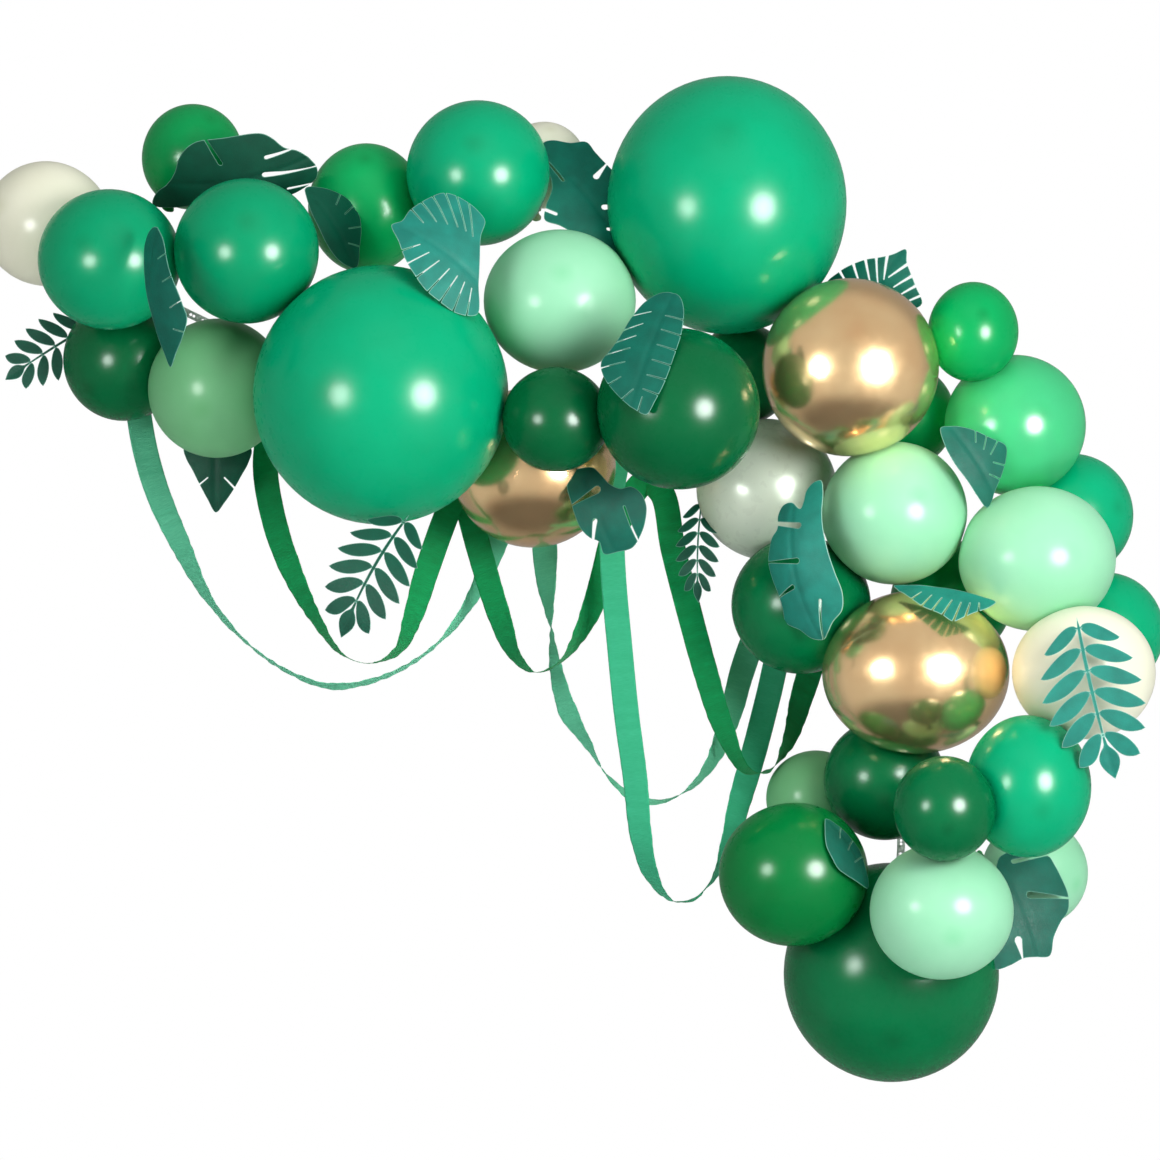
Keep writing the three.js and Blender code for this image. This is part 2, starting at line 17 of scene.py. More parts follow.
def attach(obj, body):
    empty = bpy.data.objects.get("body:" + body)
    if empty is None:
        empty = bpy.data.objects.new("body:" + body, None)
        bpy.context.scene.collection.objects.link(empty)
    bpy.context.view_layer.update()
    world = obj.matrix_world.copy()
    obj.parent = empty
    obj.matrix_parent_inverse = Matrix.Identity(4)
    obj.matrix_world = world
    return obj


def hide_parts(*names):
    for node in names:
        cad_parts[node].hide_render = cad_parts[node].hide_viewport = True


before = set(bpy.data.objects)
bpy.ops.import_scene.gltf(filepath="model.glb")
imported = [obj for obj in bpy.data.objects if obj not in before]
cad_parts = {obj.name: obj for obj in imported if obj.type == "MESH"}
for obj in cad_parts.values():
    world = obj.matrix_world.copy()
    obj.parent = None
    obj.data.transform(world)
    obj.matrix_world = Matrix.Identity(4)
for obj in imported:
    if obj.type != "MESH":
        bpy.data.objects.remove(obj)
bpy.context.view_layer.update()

MM = 0.001

# Driving sizes, in millimetres, the same as the solids'
TOUCH_GAP = 0.3
STRIP_WIDTH = 14
STRIP_THICKNESS = 1.2
TAB_DIAMETER = 34
STREAMER_WIDTH = 45
STREAMER_LAYER = 2.4
LEAF_THICKNESS = 1.6
LEAF_CLEARANCE = 1.5
NECK_RADIUS = 5
KNOT_RADIUS = 8
KNOT_LENGTH = 9
LIP_RADIUS = 11
LIP_LENGTH = 16
CONE_LENGTH = 18
PEAR = 1.1
BODY_END = 154
SQUEEZE = 0.11
BACK_LAYER = STRIP_THICKNESS + 3 * STREAMER_LAYER + 2 * TOUCH_GAP

# Sizes of what only the scene shows
SIDES = 72  # faces round a balloon
BODY_RINGS = 52
CONE_RINGS = 12
NECK_FLARE = 60  # how far the curve from body to neck follows its ends
LEANS_BACK = 0.93  # how much of a neck's length can run towards the wall
CONTACT_REACH = 1.12  # balloons further apart than this share of their sizes don't touch
PRESS_SOFTNESS = 2  # how round the edge is where two balloons press together
CROWN_TONE = 0.35  # deeper spot at the crown, and its size as a share of the radius
CROWN_SHARE = 0.2
CARD_THICKNESS = 0.7
CARD_GRID = 4.5  # spacing of a leaf's own points
CARD_RIM = 1.3  # width of the pale cut edge
RIB_FOLD = 1.6  # height of the soft fold along a leaf's rib
RIB_WIDTH = 5
EDGE_WAVE = 1.1
HIDDEN_DEPTH = 4  # card further than this inside a balloon is left out
PAPER_THICKNESS = 0.5
PAPER_STEP = 2.2  # along a streamer
PAPER_ACROSS = 14
PAPER_FREE = 25  # distance from the strip at which the paper ruffles in full
STRIP_STEP = 4
HOLE_PITCH = 24
HOLE_RADIUS = 2.6
HOLE_SIDES = 12
HOLES_START = 30
TAB_RADIUS = TAB_DIAMETER / 2
TAB_SIDES = 40
TAB_BOSS = 1.9

# Rings of the knot: radius, distance down the neck, depth of the folds
KNOT_RINGS = [(6.8, 1.6, 0.1), (KNOT_RADIUS, 3.4, 0.14), (KNOT_RADIUS, 5.4, 0.14), (6.6, 7.4, 0.1),
              (4.6, KNOT_LENGTH, 0.06)]
# Rings of the rolled lip, outside and then inside: radius, distance from the end
LIP_RINGS = [(4.8, 13), (6.4, 9), (8.4, 5), (9.8, 2.6), (LIP_RADIUS, 2), (LIP_RADIUS + 0.4, 0.9),
             (LIP_RADIUS - 0.2, 0), (9.4, 0.4), (8.8, 1.8), (7.2, 5), (5, 9.5), (2, 13)]
# Rings of a tab, from the wall to its boss: radius, distance from the wall
TAB_RINGS = [(TAB_RADIUS - 0.4, 0), (TAB_RADIUS, 0.3), (TAB_RADIUS, 1.1), (TAB_RADIUS - 0.4, 1.4),
             (TAB_RADIUS - 2, 1.4), (TAB_RADIUS - 2.4, 1.2), (4, 1.2), (3.4, 1.8)]

# Balloons from the back of the pile to its front: name, finish, centre x and z, width, height,
# and the way the neck points in the front view, in degrees from +X towards +Z.
BALLOONS = [
    ("ivory_left_end", "ivory", -1058, 370, 225, 222, -20),
    ("crystal_dark_left", "forest", -920, 127, 215, 218, 40),
    ("grass_small_top_left", "grass", -797, 492, 180, 184, -118),
    ("grass_behind_large", "grass", -487, 400, 208, 226, -90),
    ("ivory_small_top", "ivory", -170, 478, 150, 150, -100),
    ("forest_behind_gold", "forest", 186, 103, 178, 178, -120),
    ("grass_behind_mint", "grass", 469, 27, 188, 188, -140),
    ("grass_behind_gold_low", "grass", 558, -301, 212, 212, 200),
    ("green_right_end", "jade", 832, -358, 206, 212, 160),
    ("jade_right", "jade", 770, -150, 220, 220, 190),
    ("sage_low_left", "sage", 310, -655, 168, 168, 30),
    ("mint_low_right", "mint", 708, -788, 184, 190, 165),
    ("forest_large_bottom", "forest", 446, -965, 382, 382, 90),
    ("crystal_green_right", "crystal", 666, 9, 250, 250, 205),
    ("jade_large_top", "jade", 154, 402, 424, 450, -90),
    ("gold_low_left", "gold", -190, -66, 290, 284, 50),
    ("pearl_white", "pearl", 225, -103, 248, 250, -40),
    ("forest_middle_right", "forest", 285, -310, 246, 244, 20),
    ("forest_low_right", "forest", 434, -620, 216, 214, 90),
    ("grass_small_right", "grass", 588, 173, 160, 176, -120),
    ("mint_right_inner", "mint", 450, -147, 256, 252, 215),
    ("sage_left", "sage", -750, 74, 244, 246, 60),
    ("jade_left", "jade", -938, 301, 252, 248, -30),
    ("jade_top", "jade", -287, 457, 254, 256, -80),
    ("mint_top", "mint", -142, 228, 269, 252, -95),
    ("jade_left_inner", "jade", -694, 315, 256, 254, -95),
    ("jade_large_left", "jade", -458, 60, 446, 456, 0),
    ("forest_small", "forest", -149, 16, 188, 184, 10),
    ("forest_middle", "forest", 65, 34, 284, 282, -30),
    ("gold_top_right", "gold", 370, 110, 312, 312, -100),
    ("mint_right_outer", "mint", 701, -228, 276, 256, 190),
    ("ivory_right", "ivory", 779, -428, 250, 234, 175),
    ("jade_low_right", "jade", 678, -627, 220, 248, 120),
    ("grass_low_left", "grass", 269, -784, 262, 252, 40),
    ("mint_low", "mint", 527, -846, 252, 238, 110),
    ("forest_small_low", "forest", 528, -664, 178, 182, 95),
    ("gold_low_right", "gold", 487, -428, 328, 288, 180),
]

Leaf = namedtuple("Leaf", "name kind finish base tip width lean turn curl cup cut depth", defaults=((), 0))

# Leaves, with base and tip in the front view, the full width across the lobes, how far the tip leans
# forward, the turn about the rib in degrees, how length and width curl, and the balloons over the leaf.
LEAVES = [
    Leaf("monstera_top_left", "monstera", "leaf_dark", (-842, 440), (-576, 490),
         170, 0.1, 40, 0.12, 0.1, ("jade_left_inner", "jade_left")),
    Leaf("leaf_left_narrow", "monstera", "leaf_teal", (-846, 352), (-825, 98),
         150, 0.1, 60, 0.1, 0.2, ("jade_left_inner",)),
    Leaf("leaf_behind_large", "monstera", "leaf_dark", (-594, 428), (-505, 286),
         130, 0.15, -40, 0.1, 0.15, ("jade_left_inner", "jade_large_left")),
    Leaf("palm_top", "palm", "leaf_light", (-430, 356), (-290, 262), 205, 0, -28, 0.12, 0.1),
    Leaf("monstera_top", "monstera", "leaf_teal", (-176, 498), (-12, 290),
         190, 0.25, -25, 0.12, 0.1, ("jade_top", "mint_top", "jade_large_top")),
    Leaf("palm_middle", "palm", "leaf_teal", (-22, 28), (58, 238),
         150, -0.45, -25, 0.05, 0.1, ("mint_top",)),
    Leaf("palm_gold", "palm", "leaf_teal", (398, 210), (468, 326),
         150, 0.1, -18, 0.1, 0.15, ("gold_top_right",), 190),
    Leaf("monstera_right", "monstera", "leaf_teal", (630, -130), (546, 4),
         130, 0.2, 25, 0.1, 0.1, ("mint_right_outer", "mint_right_inner")),
    Leaf("palm_gold_low", "palm", "leaf_light", (462, -282), (620, -300),
         120, 0.1, -55, 0.1, 0.1, ("mint_right_outer",)),
    Leaf("monstera_middle", "monstera", "leaf_teal", (-92, -96), (-40, -224), 150, 0, 15, 0.15, 0.1),
    Leaf("monstera_curled", "monstera", "leaf_light", (280, -92), (318, -372),
         150, 0.1, 40, 0.18, 0.3, ("mint_right_inner",)),
    Leaf("branch_left", "branch", "leaf_dark", (-952, 205), (-1132, 92),
         120, 0.05, 15, 0.05, 0, ("crystal_dark_left", "jade_left"), 90),
    Leaf("monstera_low_left", "monstera", "leaf_dark", (-757, -40), (-757, -146),
         124, -0.1, 0, 0.05, 0.1, ("sage_left",), 110),
    Leaf("branch_hanging", "branch", "leaf_dark", (-396, -140), (-524, -366), 150, 0.1, 15, 0.15, 0),
    Leaf("branch_small", "branch", "leaf_dark", (112, -110), (104, -306),
         84, 0.05, 20, 0.08, 0, ("pearl_white", "forest_middle"), 150),
    Leaf("branch_right", "branch", "leaf_light", (756, -312), (826, -612),
         180, 0.05, 10, 0.12, 0, ("mint_right_outer",)),
    Leaf("monstera_low_right", "monstera", "leaf_teal", (640, -760), (712, -948),
         150, 0.1, -20, 0.1, 0.1, ("mint_low", "jade_low_right")),
    Leaf("leaf_low_left", "monstera", "leaf_teal", (400, -806), (326, -684),
         110, 0.1, 55, 0.1, 0.1, ("mint_low",)),
]

# Streamer routes: x, depth from the wall, z, and how far the paper has turned about the route.
STREAMERS = [
    ("streamer_light", "paper_light", 0, [
        (-925, 0, 290, 0), (-908, 0, 130, 0), (-900, 2, 50, 0), (-886, 24, -30, 0), (-862, 42, -110, 12),
        (-822, 50, -200, 35), (-770, 52, -300, 70), (-700, 52, -380, 84), (-620, 50, -434, 80),
        (-548, 50, -456, 74), (-450, 50, -436, 80), (-360, 50, -378, 84), (-295, 40, -290, 60),
        (-250, 20, -180, 15), (-210, 0, -70, 0), (-180, 0, -100, 0), (-170, 12, -200, 0),
        (-166, 40, -270, 40), (-158, 52, -350, 86), (-150, 52, -420, 60), (-128, 52, -500, 40),
        (-92, 50, -560, 70),
        (-58, 50, -615, 95), (-10, 50, -655, 110), (40, 50, -662, 100), (90, 50, -638, 80),
        (130, 50, -590, 60), (162, 48, -510, 30), (184, 30, -430, 10), (208, 8, -366, 0),
        (244, 0, -304, 0), (296, 0, -222, 0),
    ]),
    ("streamer_dark", "paper_dark", 1, [
        (-650, 0, 130, 0), (-662, 0, 20, 0), (-670, 30, -60, 0), (-655, 76, -150, 10),
        (-628, 100, -232, 25), (-580, 108, -330, 60), (-530, 108, -398, 84), (-480, 108, -414, 92),
        (-430, 106, -390, 70), (-404, 104, -330, 40), (-380, 92, -250, 15), (-345, 60, -150, 0),
        (-315, 30, -80, 0), (-305, 50, -140, 0), (-278, 96, -240, 10), (-250, 106, -330, 25),
        (-222, 108, -400, 60), (-186, 108, -430, 88), (-140, 108, -410, 84), (-100, 106, -350, 50),
        (-72, 100, -280, 20), (-40, 60, -170, 0), (10, 30, -90, 0), (40, 50, -110, 0),
        (60, 96, -210, 5), (88, 106, -320, 5), (118, 108, -430, 15), (150, 108, -530, 35),
        (190, 108, -604, 70), (230, 108, -606, 100), (262, 100, -560, 60), (292, 46, -470, 20),
        (320, 5, -384, 0), (332, 0, -340, 0), (336, 0, -280, 0),
    ]),
    ("streamer_bright", "paper_bright", 2, [
        (-30, 0, -10, 0), (-48, 40, -100, 0), (-50, 130, -180, 0), (-46, 160, -270, 0), (-36, 164, -380, 0),
        (-24, 164, -500, 5), (-8, 164, -620, 15), (2, 162, -720, 30), (20, 150, -790, 55),
        (52, 130, -834, 84), (92, 105, -836, 96), (130, 80, -800, 80), (158, 62, -740, 50),
        (180, 54, -660, 25), (206, 48, -570, 5), (232, 30, -470, 0), (252, 6, -390, 0),
        (282, 0, -320, 0), (314, 0, -250, 0),
    ]),
]

STRIP_ROUTE = [
    (-1010, 340), (-860, 240), (-725, 172), (-570, 90), (-425, 10), (-195, -46), (0, 0),
    (140, -50), (236, -130), (330, -270), (380, -400), (425, -530), (462, -650), (470, -740), (456, -860),
    (446, -1000),
]
TABS = [(-1010, 340), (0, 0), (446, -1000)]


# Mesh helpers

def unit(v):
    return v / np.linalg.norm(v)


def turned(v, axis, degrees):
    """v turned about a unit axis."""
    a = math.radians(degrees)
    return v * math.cos(a) + np.cross(axis, v) * math.sin(a) + axis * np.dot(axis, v) * (1 - math.cos(a))


def add_object(name, data):
    thing = bpy.data.objects.new(name, data)
    bpy.context.scene.collection.objects.link(thing)
    return thing


def add_piece(name, node, finish, points, faces, marks=None):
    """Makes a smooth mesh piece from points in millimetres, which stands for a CAD node."""
    mesh = bpy.data.meshes.new(name)
    mesh.from_pydata((np.asarray(points) * MM).tolist(), [], faces)
    mesh.polygons.foreach_set("use_smooth", [True] * len(mesh.polygons))
    mesh.materials.append(MATERIALS[finish])
    for mark, values in (marks or {}).items():
        mesh.attributes.new(mark, "FLOAT", "POINT").data.foreach_set("value", np.asarray(values, np.float32))
    mesh.update()
    piece = add_object(name, mesh)
    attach(piece, "root")
    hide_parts(node)
    return piece


def loft_faces(rings, sides, first=0):
    """Quads between closed rings of points."""
    faces = []
    for low in range(first, first + (rings - 1) * sides, sides):
        for k in range(sides):
            n = (k + 1) % sides
            faces.append((low + k, low + n, low + sides + n, low + sides + k))
    return faces


def capped_faces(rings, sides, first=0):
    """Faces of a closed body: a point, rings of points, and a last point."""
    low = first + 1 + (rings - 1) * sides
    return ([(first, first + 1 + (k + 1) % sides, first + 1 + k) for k in range(sides)]
            + loft_faces(rings, sides, first + 1)
            + [(low + k, low + (k + 1) % sides, low + sides) for k in range(sides)])


# Materials

def make_material(name, **inputs):
    material = bpy.data.materials.new(name)
    material.use_nodes = True
    tree = material.node_tree
    shader = tree.nodes["Principled BSDF"]
    for socket, value in inputs.items():
        shader.inputs[socket.replace("_", " ")].default_value = value
    return material, tree, shader


def add_node(tree, kind, inputs=None, **settings):
    node = tree.nodes.new(kind)
    for key, value in settings.items():
        setattr(node, key, value)
    for socket, value in (inputs or {}).items():
        if isinstance(value, bpy.types.NodeSocket):
            tree.links.new(value, node.inputs[socket])
        else:
            node.inputs[socket].default_value = value
    return node


def linear(r, g, b):
    """A colour given as 0 to 255 display values."""
    parts = [c / 255 for c in (r, g, b)]
    return (*[c / 12.92 if c <= 0.04045 else ((c + 0.055) / 1.055) ** 2.4 for c in parts], 1)


def mix_colours(tree, share, a, b):
    return add_node(tree, "ShaderNodeMix", {0: share, 6: a, 7: b}, data_type="RGBA").outputs[2]


def noise_value(tree, scale, detail=3, vector=None):
    """A soft random value, 0 to 1, over the surface."""
    position = vector or add_node(tree, "ShaderNodeNewGeometry").outputs["Position"]
    texture = add_node(tree, "ShaderNodeTexNoise", {"Vector": position, "Scale": scale, "Detail": detail})
    spread = {"Value": texture.outputs["Fac"], "From Min": 0.35, "From Max": 0.65}
    return add_node(tree, "ShaderNodeMapRange", spread).outputs["Result"]


def mark_value(tree, mark):
    return add_node(tree, "ShaderNodeAttribute", attribute_name=mark).outputs["Fac"]


def scaled(tree, value, low, high):
    spread = {"Value": value, "To Min": low, "To Max": high}
    return add_node(tree, "ShaderNodeMapRange", spread).outputs["Result"]


def connect(tree, shader, **sources):
    for socket, source in sources.items():
        tree.links.new(source, shader.inputs[socket.replace("_", " ")])


def bump(tree, shader, height, strength, distance):
    node = add_node(tree, "ShaderNodeBump", {"Height": height, "Strength": strength, "Distance": distance})
    connect(tree, shader, Normal=node.outputs["Normal"])


def colour_latex(tree, shader, colour, deep, cloud_scale, clouds):
    """A slightly cloudy colour, deeper where the skin is thicker."""
    share = scaled(tree, noise_value(tree, cloud_scale), 0, clouds)
    cloudy = mix_colours(tree, share, linear(*colour), linear(*deep))
    body = mix_colours(tree, mark_value(tree, "tone"), cloudy, linear(*deep))
    connect(tree, shader, Base_Color=body)


def latex(name, colour, deep, roughness, coat, metallic=0.0, transmission=0.0):
    """Stretched latex: clear and even over the crown, thicker and deeper in colour near the neck."""
    material, tree, shader = make_material(
        name, Metallic=metallic, Coat_Weight=coat, Coat_Roughness=0.23, Coat_IOR=1.5,
        Specular_IOR_Level=0.04, Transmission_Weight=transmission, IOR=1.45 if transmission == 0 else 1.04)
    colour_latex(tree, shader, colour, deep, 9, 0.16)
    connect(tree, shader, Roughness=scaled(tree, noise_value(tree, 60, 4), roughness * 0.85, roughness * 1.2))
    bump(tree, shader, noise_value(tree, 30, 2), 0.05, 0.001)
    return material


def chrome(name, colour, deep):
    """Metallic latex: a mirror that is slightly dull and cloudy."""
    material, tree, shader = make_material(name, Metallic=0.92, Coat_Weight=0.2, Coat_Roughness=0.1)
    colour_latex(tree, shader, colour, deep, 11, 0.3)
    connect(tree, shader, Roughness=scaled(tree, noise_value(tree, 45, 4), 0.19, 0.23))
    bump(tree, shader, noise_value(tree, 24, 2), 0.06, 0.001)
    return material


def card(name, colour, edge):
    """Printed card: matt, with faint fibre and a pale cut edge."""
    material, tree, shader = make_material(name, Specular_IOR_Level=0.15)
    fibre = noise_value(tree, 420, 5)
    dark = linear(*(c * 0.82 for c in colour))
    ground = mix_colours(tree, scaled(tree, noise_value(tree, 26, 4), 0, 0.7), linear(*colour), dark)
    rimmed = mix_colours(tree, mark_value(tree, "rim"), ground, linear(*edge))
    connect(tree, shader, Base_Color=rimmed, Roughness=scaled(tree, fibre, 0.5, 0.72))
    bump(tree, shader, fibre, 0.25, 0.0004)
    return material


def crepe(name, colour, shade):
    """Crepe paper: fine crinkles that run across the band, with painted shade along them."""
    material, tree, shader = make_material(name, Specular_IOR_Level=0.1, Sheen_Weight=0.1, Roughness=0.9)
    marks = {"X": mark_value(tree, "along"), "Y": mark_value(tree, "across")}
    place = add_node(tree, "ShaderNodeCombineXYZ", marks).outputs["Vector"]
    crinkle = noise_value(tree, 1.0, 3, place)
    broad = noise_value(tree, 0.05, 2, place)
    # Painted shade: the colour turns towards the darker colour along the crinkles, in the pattern of their
    # bump; broad darker patches come at random.
    shaded = mix_colours(tree, scaled(tree, crinkle, 0, 0.45), linear(*colour), linear(*shade))
    body = mix_colours(tree, scaled(tree, broad, 0, 0.35), shaded, linear(*shade))
    connect(tree, shader, Base_Color=body)
    bump(tree, shader, crinkle, 0.5, 0.0008)
    return material


def plastic_tape(name):
    material, tree, shader = make_material(name, Transmission_Weight=0.25, IOR=1.46, Coat_Weight=0.2)
    mottled = mix_colours(tree, noise_value(tree, 30), linear(238, 243, 238), linear(222, 230, 224))
    connect(tree, shader, Base_Color=mottled, Roughness=scaled(tree, noise_value(tree, 300, 4), 0.3, 0.45))
    bump(tree, shader, noise_value(tree, 500, 3), 0.2, 0.0003)
    return material


# How far each listed balloon's colour is moved from its latex's colour towards the deep one, over the whole
# balloon
DEEPER = {
    "grass_small_top_left": 0.4,
    "grass_small_right": 0.1,
    "grass_low_left": 0.85,
    "grass_behind_mint": 0.4,
    "grass_behind_gold_low": 0.3,
    "jade_left": 0.3,
    "jade_left_inner": 0.35,
    "crystal_dark_left": 0.3,
    "forest_middle": 0.45,
    "forest_small": 0.5,
    "forest_small_low": 0.2,
}
# By finish: how its material is made, its slot in the record, and its looks
FINISHES = {
    "jade": (latex, "latex_jade", (0, 170, 118), (0, 126, 76), 0.3, 0.28),
    "forest": (latex, "latex_forest", (0, 116, 66), (0, 72, 34), 0.28, 0.28),
    "grass": (latex, "latex_grass", (4, 170, 92), (0, 108, 46), 0.3, 0.28),
    "crystal": (latex, "latex_crystal_green", (76, 206, 140), (30, 176, 100), 0.15, 0.6, 0, 0.3),
    "mint": (latex, "latex_mint", (158, 224, 184), (104, 206, 142), 0.4, 0.2),
    "sage": (latex, "latex_sage", (118, 188, 134), (86, 166, 100), 0.4, 0.2),
    "ivory": (latex, "latex_ivory", (238, 238, 216), (212, 214, 178), 0.4, 0.3),
    "pearl": (latex, "latex_pearl", (206, 218, 200), (182, 204, 178), 0.3, 0.6, 0.05),
    "gold": (chrome, "latex_chrome_gold", (250, 214, 160), (226, 168, 112)),
    "leaf_dark": (card, "card_dark_green", (0, 86, 64), (110, 170, 150)),
    "leaf_teal": (card, "card_teal", (0, 106, 88), (120, 182, 164)),
    "leaf_light": (card, "card_light_teal", (28, 138, 122), (160, 210, 194)),
    "paper_light": (crepe, "crepe_sage", (108, 212, 170), (72, 184, 138)),
    "paper_dark": (crepe, "crepe_dark_green", (0, 160, 90), (0, 118, 58)),
    "paper_bright": (crepe, "crepe_jade", (62, 184, 138), (38, 160, 114)),
    "strip": (plastic_tape, "strip_plastic"),
}
MATERIALS = {finish: make(slot, *looks) for finish, (make, slot, *looks) in FINISHES.items()}


# Balloons

def reach(half, n):
    return math.hypot(*(half * n))


def pile_up(rows):
    """Each balloon rests on the wall's layer or presses on the balloons behind it."""
    pile = []
    for name, finish, x, z, width, height, neck in rows:
        half = np.array([width / 2, (width + height) / 4, height / 2])
        y = -(half[1] * (1 + PEAR) / 2 + BACK_LAYER)
        for other in pile:
            dx = x - other.centre[0]
            dz = z - other.centre[2]
            apart = math.hypot(dx, dz)
            in_view = np.array([dx / apart, 0, dz / apart])
            mine = reach(half, in_view)
            theirs = reach(other.half, in_view)
            if apart > mine + theirs:
                continue
            outline_depth = math.sqrt(max(0, theirs ** 2 - (apart - mine) ** 2))
            touch_depth = math.sqrt(max(0, ((1 - SQUEEZE) * (mine + theirs)) ** 2 - apart ** 2))
            y = min(y, other.centre[1] - max(outline_depth, touch_depth))
        pile.append(SimpleNamespace(name=name, finish=finish, half=half, neck=math.radians(neck),
                                    centre=np.array([x, y, z]), radius=(half[0] + half[2]) / 2, planes=[]))
    return pile


def find_contacts(pile):
    """Gives each balloon the planes that its neighbours press it flat against."""
    for i, a in enumerate(pile):
        for b in pile[i + 1:]:
            distance = np.linalg.norm(b.centre - a.centre)
            n = (b.centre - a.centre) / distance
            ra = reach(a.half, n)
            rb = reach(b.half, n)
            if distance > CONTACT_REACH * (ra + rb):
                continue
            at = n @ a.centre + (distance ** 2 + ra ** 2 - rb ** 2) / (2 * distance)
            a.planes.append((n, at - TOUCH_GAP / 2))
            b.planes.append((-n, -(at + TOUCH_GAP / 2)))


def taper_start(radius):
    return -radius * PEAR * math.cos(math.radians(BODY_END))


def neck_direction(balloon):
    length = taper_start(balloon.radius) + CONE_LENGTH + KNOT_LENGTH + LIP_LENGTH
    back = min(LEANS_BACK, (-balloon.centre[1] - BACK_LAYER - LIP_RADIUS) / length)
    level = math.sqrt(1 - back * back)
    return np.array([math.cos(balloon.neck) * level, back, math.sin(balloon.neck) * level])


def balloon_profile(radius):
    """Rings from the crown to the lip: radius, place along the axis, share of neck, depth of the folds."""
    rings = []
    for i in range(1, BODY_RINGS + 1):
        angle = math.radians(BODY_END * i / BODY_RINGS)
        stretch = PEAR if math.cos(angle) < 0 else 1
        share = max(0, (i / BODY_RINGS - 0.8) / 0.2) ** 2 * 0.4
        rings.append((radius * math.sin(angle), radius * stretch * math.cos(angle), share, 0))
    start = -taper_start(radius)
    knot = start - CONE_LENGTH
    end = knot - KNOT_LENGTH - LIP_LENGTH
    wide = rings[-1][0]
    for i in range(1, CONE_RINGS + 1):
        s = i / CONE_RINGS
        ahead = 3 * s * s - 2 * s ** 3
        lead = s ** 3 - 2 * s * s + s
        x = wide * (1 - ahead) + NECK_RADIUS * ahead - 0.9 * NECK_FLARE * lead
        y = start * (1 - ahead) + knot * ahead - 0.48 * NECK_FLARE * lead - 12 * (s ** 3 - s * s)
        rings.append((max(x, NECK_RADIUS), y, 0.4 + 0.6 * s, 0.03 * s))
    rings += [(x, knot - down, 1, fold) for x, down, fold in KNOT_RINGS]
    return rings + [(x, end + up, 1, 0.05) for x, up in LIP_RINGS]


def balloon_mesh(balloon):
    turn = np.array(Vector((0, -1, 0)).rotation_difference(Vector(neck_direction(balloon))).to_matrix())
    rings = balloon_profile(balloon.radius)
    seed = balloon.centre[0] * 0.01
    round_angle = np.linspace(0, 2 * math.pi, SIDES, endpoint=False)
    points = [np.array([[0, balloon.radius, 0]])]
    share = [[0.0]]
    tone = [[CROWN_TONE]]
    for x, y, neck, fold in rings:
        twist = round_angle * 3 + y * 0.12 + seed
        r = x * (1 + fold * np.cos(twist) + 0.5 * fold * np.cos(2 * twist + seed))
        points.append(np.column_stack([r * np.cos(round_angle), np.full(SIDES, y), r * np.sin(round_angle)]))
        share.append([neck] * SIDES)
        crown = max(0, 1 - x / (CROWN_SHARE * balloon.radius)) * CROWN_TONE if y > 0 else 0
        tone.append([min(1, crown + neck)] * SIDES)
    points.append(np.array([[0, rings[-1][1] + 0.5, 0]]))
    share.append([1.0])
    tone.append([1.0])
    points = np.vstack(points) @ turn.T
    share = np.concatenate(share)
    stretch = balloon.half / balloon.radius
    points = points * (stretch * (1 - share[:, None]) + share[:, None]) + balloon.centre
    for n, at in balloon.planes:
        d = points @ n - at
        soft = -PRESS_SOFTNESS * np.logaddexp(0, -d / PRESS_SOFTNESS)
        body = np.clip(1 - (share - 0.3) / 0.4, 0, 1)
        points += ((soft - d) * body)[:, None] * n
    return points, capped_faces(len(rings), SIDES), np.concatenate(tone)


def make_balloons():
    pile = pile_up(BALLOONS)
    find_contacts(pile)
    for balloon in pile:
        points, faces, tone = balloon_mesh(balloon)
        own = DEEPER.get(balloon.name, 0)
        add_piece("latex_" + balloon.name, "balloon_" + balloon.name, balloon.finish, points, faces,
                  {"tone": own + (1 - own) * tone})
    return pile


# Leaves

LEAF_KINDS = {
    "monstera": SimpleNamespace(lobes=5, core=0.42, shoulder=0.93, spread=0.84, rib=0.82),
    "palm": SimpleNamespace(lobes=7, core=0.48, shoulder=0.88, spread=0.72, rib=0.62),
    "branch": SimpleNamespace(lobes=6, core=0.04, shoulder=0.5, spread=0.78, rib=0.8),
}
LEAF_NOTCH = 0.06
LEAFLET_LEAN = 0.16
LEAFLET_STEPS = 12  # from a leaflet's root to its tip
STEM_STEPS = 14  # round the leaflet at a branch's end
OUTLINE_STEP = 0.8  # spacing of an outline's points while its cuts are made
OUTLINE_SPACING = 2.6  # and the widest afterwards, where it runs straight
ROUGH_SHARE = 1.03  # how much larger than itself a balloon counts where a leaf rests on it


def edge_point(kind, t):
    """The edge of an uncut leaf at t, 0 at its base and 1 at its tip, in leaf lengths and half widths."""
    if kind is LEAF_KINDS["branch"]:
        return kind.rib * t + LEAFLET_LEAN, 1 - 0.45 * (2 * t - 0.9) ** 2
    full = math.sin(math.pi * t) ** 0.7
    return 1 - 1.08 * (0.5 + 0.5 * math.cos(math.pi * t)), full * (1 + 0.12 * math.cos(math.pi * t))


def lobe_point(kind, t, share):
    root = LEAF_NOTCH + (kind.rib - LEAF_NOTCH) * t
    u, v = edge_point(kind, t)
    return root + (u - root) * share, v * share


